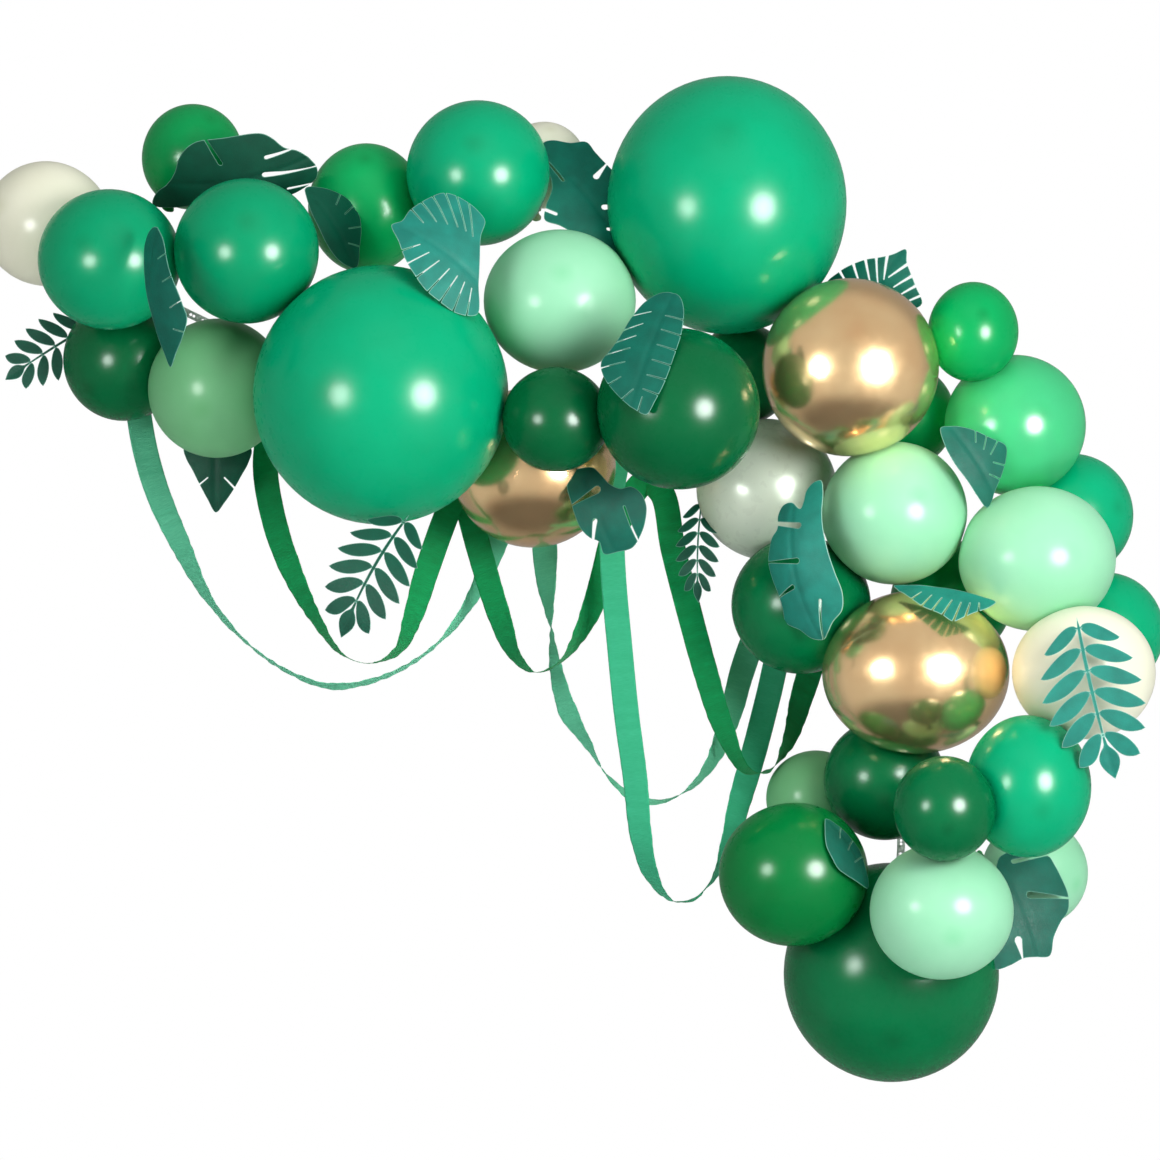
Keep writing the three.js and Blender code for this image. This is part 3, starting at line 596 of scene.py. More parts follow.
def coarse_outline(kind):
    """The corners of the leaf's solid, which set how far forward it rests."""
    side = []
    for i in range(kind.lobes):
        middle = (i + 0.5) / kind.lobes
        half = kind.spread * 0.5 / kind.lobes
        if i > 0 or kind is LEAF_KINDS["branch"]:
            side.append(lobe_point(kind, i / kind.lobes, kind.core))
        side += [lobe_point(kind, middle - half, kind.shoulder), lobe_point(kind, middle, 1),
                 lobe_point(kind, middle + half, kind.shoulder)]
    if kind is LEAF_KINDS["branch"]:
        side += [(kind.rib, kind.core), ((1 + kind.rib) / 2, 0.22)]
    return [(LEAF_NOTCH, 0), *side, (1, 0), *[(u, -v) for u, v in reversed(side)]]


# Leaf drawings, as they show in the front view, in steps of 1.77 mm counted right and down. An edge lists
# the places that it runs through. A cut has the place of its mouth and of its inner end, and half its
# width at both in millimetres.
DRAWING_STEP = 1.77
DRAWING_ORIGIN = (640, 430)


def slits(half_mouth, half_inner, *ends):
    """Cuts of one width, each given by its mouth and inner end."""
    return [(*end, half_mouth, half_inner) for end in ends]


LEAF_DRAWINGS = {
    "monstera_top_left": (
        [(174, 170), (178, 158), (186, 148), (197, 142), (215, 139), (238, 136), (262, 134), (272, 138),
         (284, 147), (297, 150), (307, 156), (316, 166), (315, 176), (306, 184), (290, 193), (250, 200),
         (205, 202), (170, 205), (150, 202), (154, 190), (166, 182)],
        [(206, 140, 220, 163, 2.4, 4), (291, 147, 266, 157, 2, 4), (316, 164, 264, 174, 0.8, 5),
         (309, 182, 287, 187, 1.6, 2.4)]),
    "leaf_left_narrow": (
        [(151, 240), (155, 233), (161, 231), (168, 242), (173, 264), (180, 288), (187, 308), (194, 323),
         (189, 340), (183, 354), (176, 370), (169, 354), (160, 330), (153, 302), (149, 268)],
        slits(0.7, 0.6, (172, 258, 164, 263), (178, 281, 169, 286), (186, 305, 176, 312),
              (190, 336, 180, 333))),
    "leaf_behind_large": (
        [(306, 188), (318, 187), (332, 190), (346, 198), (358, 212), (361, 228), (360, 248), (357, 268),
         (346, 266), (336, 258), (326, 242), (316, 222), (309, 205)],
        slits(0.7, 0.6, (340, 194, 336, 205), (353, 206, 345, 214), (361, 227, 349, 229),
              (360, 247, 349, 244))),
    "palm_top": (
        [(394, 229), (404, 225), (411, 215), (420, 208), (432, 201), (443, 197), (456, 199), (468, 205),
         (479, 215), (486, 224), (482, 240), (481, 262), (480, 290), (479, 317), (462, 318), (446, 309),
         (430, 296), (418, 281), (408, 264), (401, 246)],
        slits(0.9, 0.5, (413, 213, 425, 227), (423, 206, 438, 226), (434, 200, 449, 228),
              (446, 197, 459, 231), (458, 200, 467, 235), (470, 206, 474, 240), (404, 255, 422, 249),
              (410, 268, 431, 257), (419, 282, 441, 265), (430, 296, 451, 273), (442, 306, 459, 280),
              (455, 315, 466, 286), (468, 318, 473, 292))),
    "monstera_top": (
        [(543, 141), (552, 138), (570, 141), (586, 140), (595, 150), (604, 160), (613, 170), (622, 181),
         (631, 198), (636, 213), (637, 230), (637, 248), (632, 268), (615, 262), (596, 250), (576, 236),
         (560, 226), (545, 220), (546, 206), (552, 188), (548, 168)],
        [(548, 158, 563, 180, 1.8, 2.6), (606, 163, 596, 176, 1.4, 5.5), (634, 205, 604, 207, 0.8, 5),
         (637, 231, 608, 229, 1, 3), (547, 210, 556, 214, 3, 3)]),
    "palm_middle": (
        [(645, 418), (632, 412), (616, 398), (603, 380), (601, 366), (611, 352), (621, 338), (632, 320),
         (644, 306), (661, 297), (676, 299), (682, 312), (680, 335), (672, 362), (662, 388), (653, 406)],
        slits(0.9, 0.5, (608, 388, 620, 381), (601, 372, 624, 366), (606, 359, 629, 352),
              (615, 347, 635, 340), (623, 335, 642, 328), (632, 320, 650, 316), (657, 399, 642, 393),
              (664, 384, 646, 379), (669, 370, 651, 364), (674, 355, 656, 349), (678, 340, 660, 334),
              (681, 325, 664, 320), (621, 403, 632, 393), (637, 415, 641, 401))),
    "palm_gold": (
        [(828, 282), (840, 271), (852, 264), (866, 259), (880, 257), (893, 254), (906, 249), (907, 262),
         (911, 274), (916, 287), (922, 304), (900, 312), (870, 316), (842, 304)],
        [(841, 271, 850, 287, 2.4, 1), (854, 263, 861, 285, 2.4, 1), (866, 259, 871, 284, 2.4, 1),
         (877, 257, 878, 282, 2, 1), (888, 256, 884, 279, 2.6, 1), (908, 264, 889, 277, 2.6, 1),
         (912, 276, 894, 287, 2.4, 1), (916, 286, 900, 295, 2.2, 1), (920, 296, 904, 303, 2, 1)]),
    "monstera_right": (
        [(938, 429), (948, 427), (960, 428), (974, 432), (989, 439), (1004, 447), (1004, 460), (1000, 474),
         (995, 486), (985, 508), (975, 497), (962, 478), (950, 462), (942, 446)],
        slits(0.8, 0.7, (973, 432, 973, 443), (984, 437, 981, 450), (995, 442, 988, 455),
              (1003, 466, 991, 463), (998, 480, 987, 475))),
    "palm_gold_low": (
        [(892, 586), (905, 585), (920, 585), (938, 587), (955, 590), (974, 595), (992, 601), (985, 607),
         (972, 612), (958, 617), (948, 620), (938, 615), (928, 610), (916, 604), (903, 595)],
        [(908, 599, 918, 592, 1.6, 0.6), (918, 605, 928, 595, 1.6, 0.6), (928, 610, 938, 598, 1.6, 0.6),
         (938, 615, 948, 600, 1.6, 0.6), (949, 620, 957, 602, 1.6, 0.6), (961, 616, 966, 603, 1.6, 0.6),
         (974, 611, 975, 603, 1.4, 0.6)]),
    "monstera_middle": (
        [(568, 476), (575, 470), (584, 468), (593, 468), (601, 475), (609, 484), (620, 489), (631, 487),
         (641, 494), (646, 507), (645, 522), (640, 536), (632, 548), (618, 552), (604, 554), (599, 542),
         (590, 538), (581, 529), (575, 516), (571, 502), (567, 488)],
        [(573, 505, 597, 490, 0.9, 6.5), (593, 540, 595, 521, 2.2, 4), (638, 541, 624, 507, 1.4, 1.8)]),
    "monstera_curled": (
        [(822, 639), (810, 638), (799, 630), (785, 622), (782, 609), (777, 594), (771, 578), (768, 562),
         (769, 548), (771, 538), (776, 529), (777, 516), (782, 506), (790, 503), (799, 509), (802, 502),
         (805, 491), (812, 483), (819, 481), (821, 492), (820, 512), (821, 532), (825, 552), (832, 572),
         (839, 592), (839, 610), (831, 621), (826, 632)],
        [(769, 562, 795, 561, 1, 5), (779, 597, 791, 587, 1, 4), (821, 638, 818, 600, 0.8, 2.2),
         (775, 525, 797, 526, 3, 5)]),
    "monstera_low_left": (
        [(181, 447), (183, 457), (190, 470), (197, 484), (205, 499), (213, 512), (222, 502), (231, 489),
         (239, 475), (246, 462), (249, 448), (232, 441), (213, 439), (196, 441)],
        [(196, 484, 205, 477, 1.2, 0.9), (233, 488, 222, 477, 1.6, 1.2)]),
    "monstera_low_right": (
        [(1000, 858), (1020, 851), (1046, 853), (1056, 866), (1064, 881), (1069, 896), (1069, 911),
         (1061, 923), (1054, 938), (1050, 956), (1036, 957), (1024, 958), (1010, 965), (996, 969),
         (984, 962), (988, 930), (995, 890)],
        [(1046, 858, 1014, 862, 2.2, 4), (1069, 899, 1030, 895, 1.4, 6.5), (1023, 960, 1018, 940, 1.2, 7)]),
    "leaf_low_left": (
        [(824, 816), (834, 822), (846, 833), (856, 846), (862, 862), (866, 885), (856, 880), (844, 872),
         (832, 861), (825, 846), (822, 830)],
        slits(0.7, 0.6, (838, 825, 837, 835), (850, 838, 845, 847), (860, 854, 852, 859))),
}


def flat_places(leaf, axes, places):
    """Places on the flat leaf, along and across its rib, that show at places of its drawing."""
    wanted = (np.reshape(places, (-1, 2)) - DRAWING_ORIGIN) * (DRAWING_STEP, -DRAWING_STEP) - leaf.base
    axes_in_view = np.array([axes.along[[0, 2]], axes.across[[0, 2]]]).T
    flat = np.linalg.solve(axes_in_view, wanted.T).T
    for _ in range(5):
        u = flat[:, 0] / axes.length
        v = flat[:, 1] / (leaf.width / 2)
        lift = leaf_lift(leaf, axes, u, v)
        flat = np.linalg.solve(axes_in_view, (wanted - np.outer(lift, axes.face[[0, 2]])).T).T
    return flat


def rounded(points):
    """A closed smooth line through points."""
    t = np.linspace(0, 1, 8, endpoint=False)
    count = len(points)
    corners = ([points[(i + k) % count] for k in (-1, 0, 1, 2)] for i in range(count))
    return np.vstack([spline_part(*four, t) for four in corners])


def thinned(ring, spacing):
    """The outline with fewer points where it runs nearly straight."""
    kept = [ring[0]]
    for here, ahead in zip(ring[1:], np.roll(ring, -1, axis=0)[1:]):
        gone = here - kept[-1]
        onward = ahead - here
        length = math.hypot(*gone)
        if length < 0.2:
            continue
        turn = abs(gone[0] * onward[1] - gone[1] * onward[0])
        if length > spacing or turn > 0.17 * length * math.hypot(*onward):
            kept.append(here)
    return np.array(kept)


def with_cut(ring, mouth, inner, half_mouth, half_inner):
    """The outline with a cut that runs in from its edge and ends round."""
    ring = resampled(ring, OUTLINE_STEP)
    nearest = np.argmin(np.linalg.norm(ring - mouth, axis=1))
    ring = np.roll(ring, -nearest, axis=0)
    away = np.linalg.norm(ring - ring[0], axis=1) > half_mouth
    kept = ring[np.argmax(away):len(ring) - np.argmax(away[::-1])]
    ahead = unit(inner - ring[0])
    aside = np.array([ahead[1], -ahead[0]])
    if np.dot(kept[-1] - ring[0], aside) < 0:
        aside = -aside
    part = np.linspace(0.12, 1, 8)[:, None]
    middle = ring[0] + (inner - ring[0]) * part
    half = half_mouth + (half_inner - half_mouth) * part ** 1.2
    turns = np.linspace(0.25, 0.75, 3)[:, None] * math.pi
    end = inner + half_inner * (aside * np.cos(turns) + ahead * np.sin(turns))
    return np.vstack([kept, middle + aside * half, end, (middle - aside * half)[::-1]])


def branch_side(kind, size):
    """One side of a branch: a thin stem and its pointed leaflets."""
    side = []
    for i in range(kind.lobes):
        middle = (i + 0.5) / kind.lobes
        half = kind.spread * 0.5 / kind.lobes
        for step in range(2 * LEAFLET_STEPS + 1):
            out = 1 - abs(step - LEAFLET_STEPS) / LEAFLET_STEPS
            bulge = math.sin(math.pi * out ** 0.9) ** 0.75 if 0 < out < 1 else 0
            t = middle + (-1 if step < LEAFLET_STEPS else 1) * half * (bulge + 0.12 * (1 - out))
            side.append(np.array(lobe_point(kind, t, kind.core + (1 - kind.core) * out)) * size)
    for step in range(STEM_STEPS):
        s = step / STEM_STEPS
        wide = max(kind.core * (1 - s), 0.2 * math.sin(math.pi * s ** 0.85))
        side.append(np.array([kind.rib + (1 - kind.rib) * s, wide]) * size)
    return side


def leaf_ring(leaf, axes):
    """The whole outline of a leaf, in millimetres along and across its rib."""
    if leaf.kind == "branch":
        size = np.array([axes.length, leaf.width / 2])
        side = branch_side(LEAF_KINDS["branch"], size)
        mirrored = [(x, -y) for x, y in reversed(side)]
        return np.array([(LEAF_NOTCH * size[0], 0), *side, (size[0], 0), *mirrored])
    edge, cuts = LEAF_DRAWINGS[leaf.name]
    ring = rounded(flat_places(leaf, axes, edge))
    for *ends, half_mouth, half_inner in cuts:
        ring = with_cut(ring, *flat_places(leaf, axes, ends), half_mouth, half_inner)
    return thinned(ring, OUTLINE_SPACING)


def leaf_axes(leaf):
    dx = leaf.tip[0] - leaf.base[0]
    dz = leaf.tip[1] - leaf.base[1]
    in_view = math.hypot(dx, dz)
    along = unit(np.array([dx, -leaf.lean * in_view, dz]))
    face = unit(np.array([0, -1, 0]) + along * along[1])
    face = turned(face, along, leaf.turn)
    return SimpleNamespace(along=along, across=np.cross(face, along), face=face,
                           length=in_view * math.hypot(1, leaf.lean))


def leaf_lift(leaf, axes, u, v):
    """How far the bent leaf stands off its flat plane."""
    return leaf.curl * axes.length * (1 - (2 * u - 1) ** 2) - leaf.cup * (leaf.width / 2) * v * v


def leaf_points(leaf, axes, u, v, lift):
    """Points of the bent leaf, lifted off its middle surface."""
    base = np.array([leaf.base[0], 0, leaf.base[1]])
    return (base + np.outer(u * axes.length, axes.along) + np.outer(v * leaf.width / 2, axes.across)
            + np.outer(leaf_lift(leaf, axes, u, v) + lift, axes.face))


def front_depth(balloon, points):
    """Depth of a balloon's front surface at each place in the front view, or nothing beside it."""
    half = balloon.half * ROUGH_SHARE
    u = (points[:, 0] - balloon.centre[0]) / half[0]
    v = (points[:, 2] - balloon.centre[2]) / half[2]
    rest = 1 - u * u - v * v
    return np.where(rest > 0, balloon.centre[1] - half[1] * np.sqrt(np.maximum(rest, 0)), 0)


def resting_shift(leaf, axes, pile):
    """How far forward the leaf moves to clear the wall's layer and the balloons that it lies on."""
    corners = np.array(coarse_outline(LEAF_KINDS[leaf.kind]))
    half = LEAF_THICKNESS / 2
    points = np.vstack([leaf_points(leaf, axes, *corners.T, side * half) for side in (-1, 1)])
    limit = np.full(len(points), -float(max(BACK_LAYER, leaf.depth)))
    for balloon in pile:
        if balloon.name not in leaf.cut:
            limit = np.minimum(limit, front_depth(balloon, points))
    return np.min(limit - LEAF_CLEARANCE - points[:, 1])


def inside_outline(points, outlines):
    """Whether each point lies inside the first outline and outside the others, its holes."""
    inside = np.zeros(len(points), bool)
    x, y = points[:, 0, None], points[:, 1, None]
    for a in outlines:
        b = np.roll(a, -1, axis=0)
        crosses = (a[:, 1] > y) != (b[:, 1] > y)
        with np.errstate(divide="ignore", invalid="ignore"):
            at = (b[:, 0] - a[:, 0]) * (y - a[:, 1]) / (b[:, 1] - a[:, 1]) + a[:, 0]
        inside ^= (np.sum(crosses & (x < at), axis=1) % 2).astype(bool)
    return inside


def resampled(ring, spacing):
    """The ring again with points at even spacing, keeping its corners."""
    points = []
    for a, b in zip(ring, [*ring[1:], ring[0]]):
        a, b = np.array(a), np.array(b)
        parts = max(1, math.ceil(np.linalg.norm(b - a) / spacing))
        points += [a + (b - a) * i / parts for i in range(parts)]
    return np.array(points)


def edge_distance(points, ring):
    """Distance from each point to the outline."""
    ab = np.roll(ring, -1, axis=0) - ring
    found = []
    for start in range(0, len(points), 400):
        p = points[start:start + 400, None, :]
        t = np.clip(np.sum((p - ring) * ab, axis=2) / np.maximum(np.sum(ab * ab, axis=1), 1e-9), 0, 1)
        found.append(np.linalg.norm(p - (ring + t[:, :, None] * ab), axis=2).min(axis=1))
    return np.concatenate(found)


def filled(rings, more_points, closeness):
    """Points and triangles that fill the first outline apart from its holes."""
    edges = []
    first = 0
    for ring in rings:
        edges += [(first + i, first + (i + 1) % len(ring)) for i in range(len(ring))]
        first += len(ring)
    points = [Vector(p) for p in np.vstack([*rings, *more_points])]
    made, _, faces, *_ = delaunay_2d_cdt(points, edges, [], 0, closeness)
    made = np.array([tuple(p) for p in made])
    faces = np.array(faces)
    faces = faces[inside_outline(made[faces].mean(axis=1), rings)]
    a, b, c = made[faces[:, 0]], made[faces[:, 1]], made[faces[:, 2]]
    area = (b[:, 0] - a[:, 0]) * (c[:, 1] - a[:, 1]) - (b[:, 1] - a[:, 1]) * (c[:, 0] - a[:, 0])
    return made, np.where((area < 0)[:, None], faces[:, ::-1], faces)[np.abs(area) > 1e-4]


def flat_sheet(outline, grid, rim):
    """Triangles that fill an outline, with a row of points just inside its edge."""
    ring = resampled(outline, grid * 0.7)
    ahead = np.roll(ring, -1, axis=0) - np.roll(ring, 1, axis=0)
    normal = np.column_stack([-ahead[:, 1], ahead[:, 0]])
    normal /= np.maximum(np.linalg.norm(normal, axis=1), 1e-9)[:, None]
    inner = np.vstack([ring - normal * rim, ring + normal * rim])
    inner = inner[inside_outline(inner, [ring])]
    inner = inner[edge_distance(inner, ring) > 0.85 * rim]
    low = ring.min(axis=0)
    columns, rows = ((ring.max(axis=0) - low) / (grid, grid * 0.87)).astype(int) + 2
    inside = np.array([(low[0] + grid * i + (grid / 2 if j % 2 else 0), low[1] + grid * 0.87 * j)
                       for j in range(rows) for i in range(columns)])
    inside = inside[inside_outline(inside, [ring])]
    inside = inside[edge_distance(inside, ring) > rim + 0.45 * grid]
    made, faces = filled([ring], [inner, inside], 0.02)
    return made, faces, edge_distance(made, ring)


def thicken(front, back, faces):
    """A closed sheet from its front and back points, with walls along its edges."""
    used = np.unique(faces)
    place = -np.ones(len(front), int)
    place[used] = np.arange(len(used))
    faces = place[faces]
    count = len(used)
    sides = np.vstack([faces[:, [0, 1]], faces[:, [1, 2]], faces[:, [2, 0]]])
    known = {(int(a), int(b)) for a, b in sides}
    border = [(a, b) for a, b in known if (b, a) not in known]
    points = np.vstack([front[used], back[used]])
    all_faces = [tuple(f) for f in faces.tolist()]
    all_faces += [(c + count, b + count, a + count) for a, b, c in faces.tolist()]
    all_faces += [(b, a, a + count, b + count) for a, b in border]
    return points, all_faces, used


def deep_inside(points, balloon, depth):
    """Whether each point lies further than a depth inside a balloon."""
    inside = np.sum(((points - balloon.centre) / (balloon.half - depth)) ** 2, axis=1) < 1
    for n, at in balloon.planes:
        inside &= points @ n < at - depth
    return inside


def make_leaf(leaf, pile):
    axes = leaf_axes(leaf)
    flat, faces, edge = flat_sheet(leaf_ring(leaf, axes), CARD_GRID, CARD_RIM)
    u = flat[:, 0] / axes.length
    v = flat[:, 1] / (leaf.width / 2)
    wave = EDGE_WAVE * np.sin(u * 17 + leaf.base[0]) * v - RIB_FOLD * np.exp(-(flat[:, 1] / RIB_WIDTH) ** 2)
    shift = np.array([0, resting_shift(leaf, axes, pile), 0])
    front = leaf_points(leaf, axes, u, v, CARD_THICKNESS / 2 + wave) + shift
    back = leaf_points(leaf, axes, u, v, -CARD_THICKNESS / 2 + wave) + shift
    hidden = np.zeros(len(flat), bool)
    for balloon in pile:
        hidden |= deep_inside(front, balloon, HIDDEN_DEPTH)
    faces = faces[~hidden[faces].all(axis=1)]
    points, all_faces, used = thicken(front, back, faces)
    rim = np.clip(1 - edge[used] / CARD_RIM, 0, 1)
    add_piece("card_" + leaf.name, leaf.name, leaf.finish, points, all_faces, {"rim": np.tile(rim, 2)})


# Streamers and strip

def spline_part(p0, p1, p2, p3, t):
    """Points on one stretch of a centripetal spline."""
    d0, d1, d2 = (max(np.linalg.norm(b - a), 1e-4) ** 0.5 for a, b in ((p0, p1), (p1, p2), (p2, p3)))
    t1 = ((p1 - p0) / d0 - (p2 - p0) / (d0 + d1) + (p2 - p1) / d1) * d1
    t2 = ((p2 - p1) / d1 - (p3 - p1) / (d1 + d2) + (p3 - p2) / d2) * d1
    t = t[:, None]
    return p1 + t1 * t + (-3 * p1 + 3 * p2 - 2 * t1 - t2) * t ** 2 + (2 * p1 - 2 * p2 + t1 + t2) * t ** 3


def smooth_line(points, turns, step):
    """A smooth line through points, at even steps, with the turn at each."""
    points = [np.array(p, float) for p in points]
    ends = [2 * points[0] - points[1], *points, 2 * points[-1] - points[-2]]
    t = np.linspace(0, 1, 60, endpoint=False)
    parts = [spline_part(*ends[i:i + 4], t) for i in range(len(points) - 1)]
    line = np.vstack([*parts, points[-1]])
    turn = np.interp(np.linspace(0, len(turns) - 1, len(line)), range(len(turns)), turns)
    gone = np.concatenate([[0], np.cumsum(np.linalg.norm(np.diff(line, axis=0), axis=1))])
    count = int(gone[-1] / step)
    at = np.linspace(0, gone[-1], count + 1)
    even = np.column_stack([np.interp(at, gone, line[:, k]) for k in range(3)])
    return even, np.interp(at, gone, turn), at


def band_axes(line, turns):
    """The width and face directions of a flat band along a line."""
    tangent = np.gradient(line, axis=0)
    tangent /= np.linalg.norm(tangent, axis=1)[:, None]
    level = np.cross(tangent, [0, 1, 0])
    level /= np.linalg.norm(level, axis=1)[:, None]
    wide = np.array([turned(w, t, a) for w, t, a in zip(level, tangent, turns)])
    thin = np.cross(wide, tangent)
    return wide, thin / np.linalg.norm(thin, axis=1)[:, None]


def make_streamer(name, finish, layer, route):
    flat = STRIP_THICKNESS + TOUCH_GAP + (layer + 0.5) * STREAMER_LAYER
    points = [(x, -(flat + out), z) for x, out, z, _ in route]
    line, turns, at = smooth_line(points, [p[3] for p in route], PAPER_STEP)
    wide, thin = band_axes(line, turns)
    place = np.linspace(-0.5, 0.5, PAPER_ACROSS + 1)
    free = np.clip((-line[:, 1] - flat) / PAPER_FREE, 0, 1)
    ruffle = np.sin(at / 6.5 + 3 * np.sin(at / 41 + layer)) * 0.5 + np.sin(at / 3.1 + layer) * 0.25
    crinkle = np.array([noise.noise(Vector((s / 3.2, layer, 0))) for s in at])
    rings = []
    for side in (1, -1):
        for p in (place if side > 0 else place[::-1]):
            edge = abs(2 * p) ** 3
            lift = side * PAPER_THICKNESS / 2 + (0.5 * crinkle + 1.3 * ruffle * edge * np.sign(p)) * free
            reach_out = p * STREAMER_WIDTH * (1 + 0.012 * crinkle)
            rings.append(line + wide * reach_out[:, None] + thin * lift[:, None])
    sides = len(rings)
    grid = np.stack(rings, axis=1).reshape(-1, 3)
    faces = loft_faces(len(line), sides)
    last = (len(line) - 1) * sides
    half = sides // 2
    for k in range(half - 1):
        faces.append((k + 1, k, sides - 1 - k, sides - 2 - k))
        faces.append((last + k, last + k + 1, last + sides - 2 - k, last + sides - 1 - k))
    along = np.repeat(at, sides)
    across = np.tile(np.concatenate([place, place[::-1]]) * 3, len(line))
    piece = add_piece("crepe_" + name, name, finish, grid, faces, {"along": along, "across": across})


def tab_disc(x, z):
    """A round hanging tab with a raised rim and a small boss, flat against the wall."""
    points = [(x, 0, z)]
    for r, out in TAB_RINGS:
        for k in range(TAB_SIDES):
            a = 2 * math.pi * k / TAB_SIDES
            points.append((x + r * math.cos(a), -out, z + r * math.sin(a)))
    return [*points, (x, -TAB_BOSS, z)]


def make_strip():
    """A flat plastic tape with a row of paired holes and round hanging tabs."""
    y = -STRIP_THICKNESS / 2
    line, turns, at = smooth_line([(x, y, z) for x, z in STRIP_ROUTE], [0] * len(STRIP_ROUTE), STRIP_STEP)
    wide, _ = band_axes(line, turns)
    length = at[-1]
    half = STRIP_WIDTH / 2
    rings = [resampled([(0, -half), (length, -half), (length, half), (0, half)], 5)]
    round_angle = np.linspace(0, 2 * math.pi, HOLE_SIDES, endpoint=False)
    hole = HOLE_RADIUS * np.column_stack([1.05 * np.cos(round_angle), np.sin(round_angle)])
    for i in range(int((length - HOLES_START) / HOLE_PITCH)):
        for off in (-HOLE_RADIUS * 1.2, HOLE_RADIUS * 1.2):
            rings.append(hole + (HOLES_START + i * HOLE_PITCH + off, 0))
    made, faces = filled(rings, [], 0.01)
    middle, across = (np.column_stack([np.interp(made[:, 0], at, values[:, k]) for k in range(3)])
                      for values in (line, wide))
    front, back = (middle + across * made[:, 1, None] + np.array([0, depth, 0]) for depth in (y, -y))
    points, all_faces, _ = thicken(front, back, faces)
    points = points.tolist()
    for x, z in TABS:
        all_faces += capped_faces(len(TAB_RINGS), TAB_SIDES, len(points))
        points += tab_disc(x, z)
    add_piece("tape_hanging_strip", "hanging_strip", "strip", points, all_faces)


# Light, backdrop and camera

CAMERA_DISTANCE = 18
FRAME_WIDTH = 2.053
FRAME_DEPTH = -0.25  # the depth at which the photograph's frame has that width
IMAGE_CENTRE = (-0.1062, -0.2655)
OBJECT_MIDDLE = Vector((-0.106, -0.3, -0.27))
GLOSS_ROOM = 0.56  # how bright the room is in the gloss
GLOSS_CEILING = 0.55
GLOSS_BEHIND = 0.3
GLOSS_UNDERFOOT = 0.1
SOFT_LOW = 0.07  # the soft light from below, from above and from behind
SOFT_HIGH = 0.33
SOFT_BEHIND = 0.5
LAMP_ANGLE = 37.4  # of the lamps beside the camera, in degrees from it
LAMP_DISTANCE = 4.5


def add_softbox(name, angle, distance, width, radiance, height=0.0, mirrored=True, lit=True):
    """A round softbox that faces the garland, and lights it, shows in its gloss, or both."""
    light = bpy.data.lights.new(name, "AREA")
    light.shape = "DISK"
    light.size = width
    light.energy = radiance * math.pi * math.pi * (width / 2) ** 2
    lamp = add_object(name, light)
    a = math.radians(angle)
    lamp.location = OBJECT_MIDDLE + Vector((math.sin(a), -math.cos(a), 0)) * distance + Vector((0, 0, height))
    lamp.rotation_euler = (OBJECT_MIDDLE - lamp.location).to_track_quat("-Z", "Y").to_euler()
    lamp.visible_glossy = mirrored
    lamp.visible_diffuse = lit


def ramp(tree, value, low, high, start, end):
    """A value that runs smoothly from start at low to end at high."""
    spread = {"Value": value, "From Min": low, "From Max": high, "To Min": start, "To Max": end}
    return add_node(tree, "ShaderNodeMapRange", spread, interpolation_type="SMOOTHSTEP").outputs["Result"]


def blended(tree, share, first, second):
    """The first value, or the second where the share is 1."""
    return add_node(tree, "ShaderNodeMix", {0: share, 2: first, 3: second}, data_type="FLOAT").outputs[0]


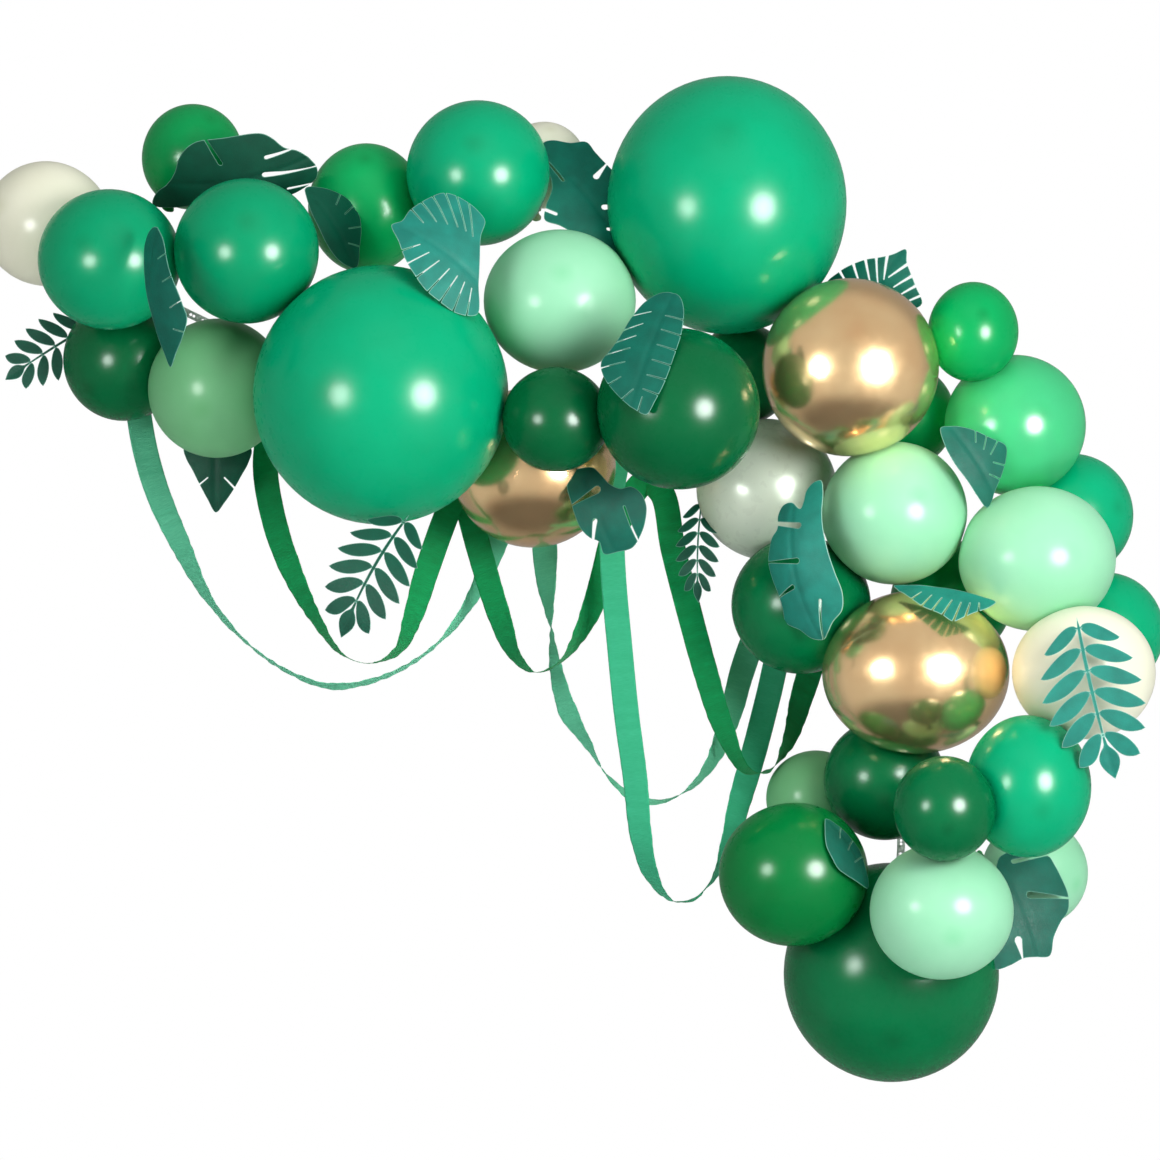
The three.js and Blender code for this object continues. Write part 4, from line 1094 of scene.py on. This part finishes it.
def make_world():
    """A white backdrop, a bright room in the balloons' gloss that is dark underfoot, and soft even light."""
    world = bpy.data.worlds.new("studio")
    world.use_nodes = True
    tree = world.node_tree
    tree.nodes.clear()
    direction = add_node(tree, "ShaderNodeTexCoord").outputs["Generated"]
    parts = add_node(tree, "ShaderNodeSeparateXYZ", {0: direction})
    height = parts.outputs["Z"]
    behind = ramp(tree, parts.outputs["Y"], 0.1, 0.6, 0.0, 1.0)
    underfoot = ramp(tree, height, -0.8, -0.5, GLOSS_UNDERFOOT, GLOSS_ROOM)
    overhead = ramp(tree, height, 0.0, 0.9, 0.0, 1.0)
    room = blended(tree, overhead, underfoot, GLOSS_CEILING)
    glossy = blended(tree, behind, room, GLOSS_BEHIND)
    diffuse = blended(tree, behind, ramp(tree, height, -0.6, 0.8, SOFT_LOW, SOFT_HIGH), SOFT_BEHIND)
    ray = add_node(tree, "ShaderNodeLightPath")
    level = blended(tree, ray.outputs["Is Diffuse Ray"], glossy, diffuse)
    level = blended(tree, ray.outputs["Is Camera Ray"], level, 1.0)
    background = add_node(tree, "ShaderNodeBackground", {"Color": (1, 1, 1, 1), "Strength": level})
    output = add_node(tree, "ShaderNodeOutputWorld")
    tree.links.new(background.outputs["Background"], output.inputs["Surface"])
    bpy.context.scene.world = world


def make_floor():
    mesh = bpy.data.meshes.new("floor")
    mesh.from_pydata([(-5, -6, -2.6), (5, -6, -2.6), (5, 4, -2.6), (-5, 4, -2.6)], [], [(0, 1, 2, 3)])
    mesh.materials.append(make_material("floor_white", Roughness=0.9, Base_Color=(0.9, 0.9, 0.9, 1))[0])
    floor = add_object("floor", mesh)
    floor.visible_glossy = False


def make_camera():
    camera = bpy.data.cameras.new("camera")
    camera.sensor_width = 36
    camera.lens = camera.sensor_width * (CAMERA_DISTANCE + FRAME_DEPTH) / FRAME_WIDTH
    camera.clip_end = 100
    eye = add_object("camera", camera)
    eye.location = (IMAGE_CENTRE[0], -CAMERA_DISTANCE, IMAGE_CENTRE[1])
    eye.rotation_euler = (math.pi / 2, 0, 0)
    bpy.context.scene.camera = eye


make_camera()
bpy.context.scene.view_settings.view_transform = "Standard"
make_world()
add_softbox("highlight_left", -LAMP_ANGLE, LAMP_DISTANCE, 1.3, 50, height=0.25, lit=False)
add_softbox("highlight_right", LAMP_ANGLE, LAMP_DISTANCE, 1.8, 80, height=0.25, lit=False)
add_softbox("softbox_left", -LAMP_ANGLE, LAMP_DISTANCE, 1.8, 7, height=0.75, mirrored=False)
add_softbox("softbox_right", LAMP_ANGLE, LAMP_DISTANCE, 2.3, 12, height=0.75, mirrored=False)
add_softbox("softbox_back", 180, 5, 3, 1.2, mirrored=False)
add_softbox("softbox_top", 5, 3.2, 4, 1.6, height=3.6, mirrored=False)
make_floor()
for streamer in STREAMERS:
    make_streamer(*streamer)
garland = make_balloons()
for leaf in LEAVES:
    make_leaf(leaf, garland)
make_strip()
